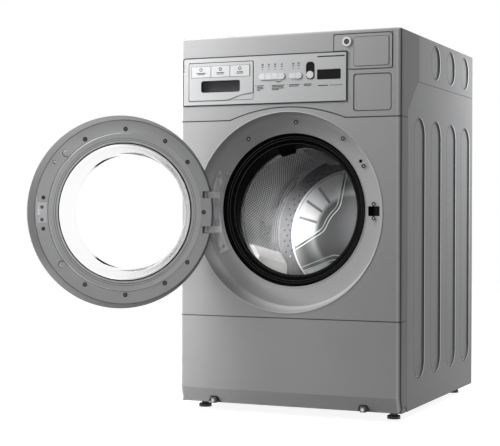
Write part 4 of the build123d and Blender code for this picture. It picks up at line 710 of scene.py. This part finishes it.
# The drum's back is one deep pressing: a star of three arms whose edges are folded twice, with three
# windows between the arms and three ribs in each window. A bead runs round it all. Light and shade
# are painted into the steel: pale windows, dark arms and hub with rings of painted reflection,
# painted highlights on the folds, and a painted highlight along the bead with painted shade beside
# it.
window_turn, window_inner, window_outer = 27.0, 98.0, 205.0
inner_half, outer_half, window_round = math.radians(24.0), math.radians(47.0), 30.0
first_fold, second_fold = 0.0025, 0.0150
third = math.radians(120.0)
pressed, place = surface("pressed_steel", Metallic=0.55)
across, up, _ = drum_place(place)
off_axis = across.hypot(up)
turn = (across.math("ARCTAN2", up, across) - math.radians(window_turn)) / third + 0.5
turn = turn.in_step() * third
out = off_axis * turn.math("COSINE", turn)
beside = abs(off_axis * turn.sine())
near = window_inner * math.cos(inner_half), window_inner * math.sin(inner_half)
far = window_outer * math.cos(outer_half), window_outer * math.sin(outer_half)
near, far = Vector(near) / 1000.0, Vector(far) / 1000.0
slant = (far - near).normalized()
past = (out - near.x) * (-slant.y) + (beside - near.y) * slant.x
for limit in (off_axis - window_outer / 1000.0, window_inner / 1000.0 - off_axis):
    past = past.math("SMOOTH_MAX", past, limit, window_round / 1000.0)
star = past.rise(-0.0005, 0.001) * (1.0 - off_axis.rise(0.2055, 0.2075))
fold_and_glint = abs(past - first_fold).least(abs(past - second_fold))
fold_and_glint = (1.0 - fold_and_glint.rise(0.0006, 0.0024)) * (1.0 - off_axis.rise(0.203, 0.206))
beyond_bead, to_bead = off_axis.rise(0.2095, 0.2110), abs(off_axis - window_outer / 1000.0)
hub_shade = 1.0 - off_axis.rise(0.112, 0.134)
grain = noise(place, 60.0, 4.0)
reflection_rings = (off_axis * 60.0 + 2.0 * noise(place, 5.0, 1.0)).sine()
lit_windows = between(grain, (0.58, 0.58, 0.59), (0.70, 0.70, 0.71))
shaded_arms = between(0.5 + 0.5 * reflection_rings, (0.10, 0.10, 0.103), (0.34, 0.34, 0.345))
outer_band = between(grain, (0.13, 0.13, 0.133), (0.22, 0.22, 0.225))
steel = between(star, lit_windows, shaded_arms)
steel = between(hub_shade, steel, (0.10, 0.10, 0.105))
steel = between(beyond_bead, steel, outer_band)
steel = between(fold_and_glint * star, steel, (0.78, 0.78, 0.79))
# Painted shade on both sides of the bead, then a painted highlight along its crest.
steel = between(1.0 - to_bead.rise(0.0050, 0.0062), steel, (0.10, 0.10, 0.105))
steel = between(1.0 - to_bead.rise(0.0032, 0.0044), steel, (0.86, 0.86, 0.87))
feeds(pressed, Base_Color=steel, Roughness=0.26 + 0.16 * grain, Normal=bump(fold_and_glint, 0.0025))
dress(pressed, "drum_back")


def laid(piece, place, outward, up):
    """Turns a piece so that its length points outward and its back lies against what is below."""
    turn = Matrix((outward, up.cross(outward), up)).transposed().to_4x4()
    piece.matrix_world = Matrix.Translation(place) @ turn
    return piece


rib_length, rib_width, rib_height, rib_dip = 0.066, 0.009, 0.003, 0.0012
rib_radius, rib_along, rib_angle = 157.5, 459.0, 18.0
rib = begin(bpy.ops.mesh.primitive_cube_add, size=1.0)
stretch(rib, rib_length, rib_width, rib_height)
pick(rib, lambda middle, normal: normal.z > 0.9)
bpy.ops.mesh.bevel(offset=0.0022, segments=3)
pick(rib, lambda middle, normal: normal.z > 0.9 and abs(middle.x) < 0.01)
bpy.ops.mesh.inset(thickness=0.0012)
bpy.ops.transform.translate(value=(0.0, 0.0, -rib_dip))
bpy.ops.object.mode_set(mode="OBJECT")
ribs = []
for window in (window_turn, window_turn + 120.0, window_turn + 240.0):
    for angle in (window - rib_angle, window, window + rib_angle):
        copy = rib.copy()
        copy.data = rib.data.copy()
        bpy.context.scene.collection.objects.link(copy)
        outward = (in_drum(200.0, angle, 0.0) - in_drum(100.0, angle, 0.0)).normalized()
        ribs.append(laid(copy, in_drum(rib_radius, angle, rib_along), outward, -drum_axis))
bpy.data.objects.remove(rib)
settle(gather(ribs), "window_ribs", stainless, "drum")

# The door is a grey moulded ring in a silver one, and hangs open on two pins. Three fine grooves run
# round its glass, drawn as dark lines of painted shade, and the ring's outer slope is darkened with
# painted shade. On the ring are nine countersunk screws, three pegs and the catch's plate with its
# two deep holes, each with a ring of painted shade round it.
hinge_pin = at(-255.5, -6.0, 0.0)
door_open, door_face = 134.7, 36.0
facing_back = (math.radians(-90.0), 0.0, 0.0)
swing = Matrix.Rotation(math.radians(-door_open), 4, "Z")
swing = Matrix.Translation(hinge_pin) @ swing @ Matrix.Translation(-hinge_pin)

door_grey, place = surface("door_grey", Metallic=0.0, Specular_IOR_Level=0.12)
flake, cloud = noise(place, 900.0, 3.0), noise(place, 9.0, 3.0)
ends = {0: place, 1: swing @ at(0, door_face, door_height)}
off_middle = place.node("ShaderNodeVectorMath", {"operation": "DISTANCE"}, ends, out="Value")
slope_shade = off_middle.rise(0.2590, 0.2620)
groove_shade, groove_shade_places = None, ((0.2040, 0.0011), (0.2095, 0.0008), (0.2255, 0.0009))
for radius, half in groove_shade_places:
    line = 1.0 - abs(off_middle - radius).rise(0.4 * half, half)
    groove_shade = line if groove_shade is None else groove_shade.most(line)
plastic = between(0.5 * flake + 0.5 * cloud, (0.60, 0.60, 0.605), (0.68, 0.68, 0.685))
plastic = between(0.85 * groove_shade, plastic, (0.06, 0.06, 0.062))
plastic = between(slope_shade, plastic, (0.13, 0.13, 0.133))
feeds(door_grey, Base_Color=plastic, Roughness=0.44 + 0.14 * (flake - 0.5))
feeds(door_grey, Normal=bump(flake, 0.00004))
dress(door_grey, "door_inner_frame", "door_bumpers")
door_silver = painted("door_silver", *front_grey, 0.42)
dress(door_silver, "door_outer_frame")


def hung(pieces):
    """Joins pieces that were placed as on the closed door, and swings them open with it."""
    piece = gather(pieces)
    bpy.ops.object.transform_apply(location=True, rotation=True, scale=True)
    piece.matrix_world = swing
    return piece


screw_circle, screw_angles = 236.0, (90, 60, 120, 142, 180, 218, 240, 270, 300)
catch_x, catch_depth, catch_heights = 238.0, door_face + 5.1, (513.8, 600.5)
pegs = ((238.4, 43.4, 8.5), (247.5, 34.1, 4.0), (235.9, 321.5, 8.5))
well_depth = door_face + 0.1
well_shade = []
for angle in screw_angles:
    place = around(screw_circle, angle, well_depth)
    well_shade.append(hoop(4.9, 3.8, 0.7, place, facing_back, well_steps))
for height in catch_heights:
    place = at(catch_x, catch_depth, height)
    well_shade.append(hoop(2.9, 5.6, 0.4, place, facing_back, well_steps))
for radius, angle, peg_radius in pegs:
    place = around(radius, angle, well_depth)
    well_shade.append(hoop(peg_radius + 0.9, 1.8, 0.5, place, facing_back, 36))
settle(hung(well_shade), "door_screw_well_shade", ink_and_shade, "door")

# The glass is a deep clear bowl, moulded in one piece with its flange. Two pale hoops of painted
# highlight run round it where its edges meet the ring.
inner_edge, outer_edge = 200.5, 223.2
edge_highlights = [hoop(inner_edge, 1.6, 0.9, at(0, 47.4, door_height), facing_back, 180),
         hoop(outer_edge, 1.2, 0.6, at(0, 45.8, door_height), facing_back, 180)]
settle(hung(edge_highlights), "glass_edge_highlights", bright_steel_and_highlight, "door")
glass, place = surface("clear_glass", Base_Color=(1.0, 1.0, 1.0, 1.0), Roughness=0.0,
                       Transmission_Weight=1.0, IOR=1.14)
streaks = {"Height": noise(place, 20.0, 2.0), "Distance": 0.00002}
feeds(glass, Normal=place.node("ShaderNodeBump", {}, streaks))
dress(glass, "door_glass")

# Inside stand a grey plastic tub on springs and dampers, a cast spider and pulley, the motor and its
# belt, an iron counterweight and a drain pump of black plastic. The cord's gland is black too. The
# tub's grey is painted near black as shade, so that the drum's holes read dark.
cast_alloy = grained("cast_alloy", (0.45, 0.45, 0.46), (0.58, 0.58, 0.59), 0.5, 0.2, 300.0,
                     0.0001, metallic=0.9)
cast_iron = grained("cast_iron", (0.05, 0.05, 0.052), (0.09, 0.09, 0.092), 0.6, 0.2, 250.0,
                    0.0002, metallic=0.5)
tub_grey_and_shade = grained("tub_grey_and_shade", (0.030, 0.030, 0.032), (0.055, 0.055, 0.058), 0.5, 0.15, 300.0,
                   0.0001)
dark_plastic = grained("dark_plastic", (0.018, 0.018, 0.02), (0.032, 0.032, 0.035), 0.42, 0.14,
                       900.0, 0.00003)
dress(cast_alloy, "drum_spider", "drum_pulley")
dress(cast_iron, "counterweight", "drive_motor")
dress(tub_grey_and_shade, "tub_front", "tub_rear")
dress(rubber, "drive_belt")
dress(zinc, "suspension_springs", "dampers", "motor_rotor")
dress(dark_plastic, "power_inlet", "drain_pump")

# Four levelling feet carry it. Each is a moulded pad under a hexagon on a threaded stem, which screws
# up and down in the frame.
dress(dark_plastic, *[f"levelling_foot_{n}" for n in range(1, 5)])
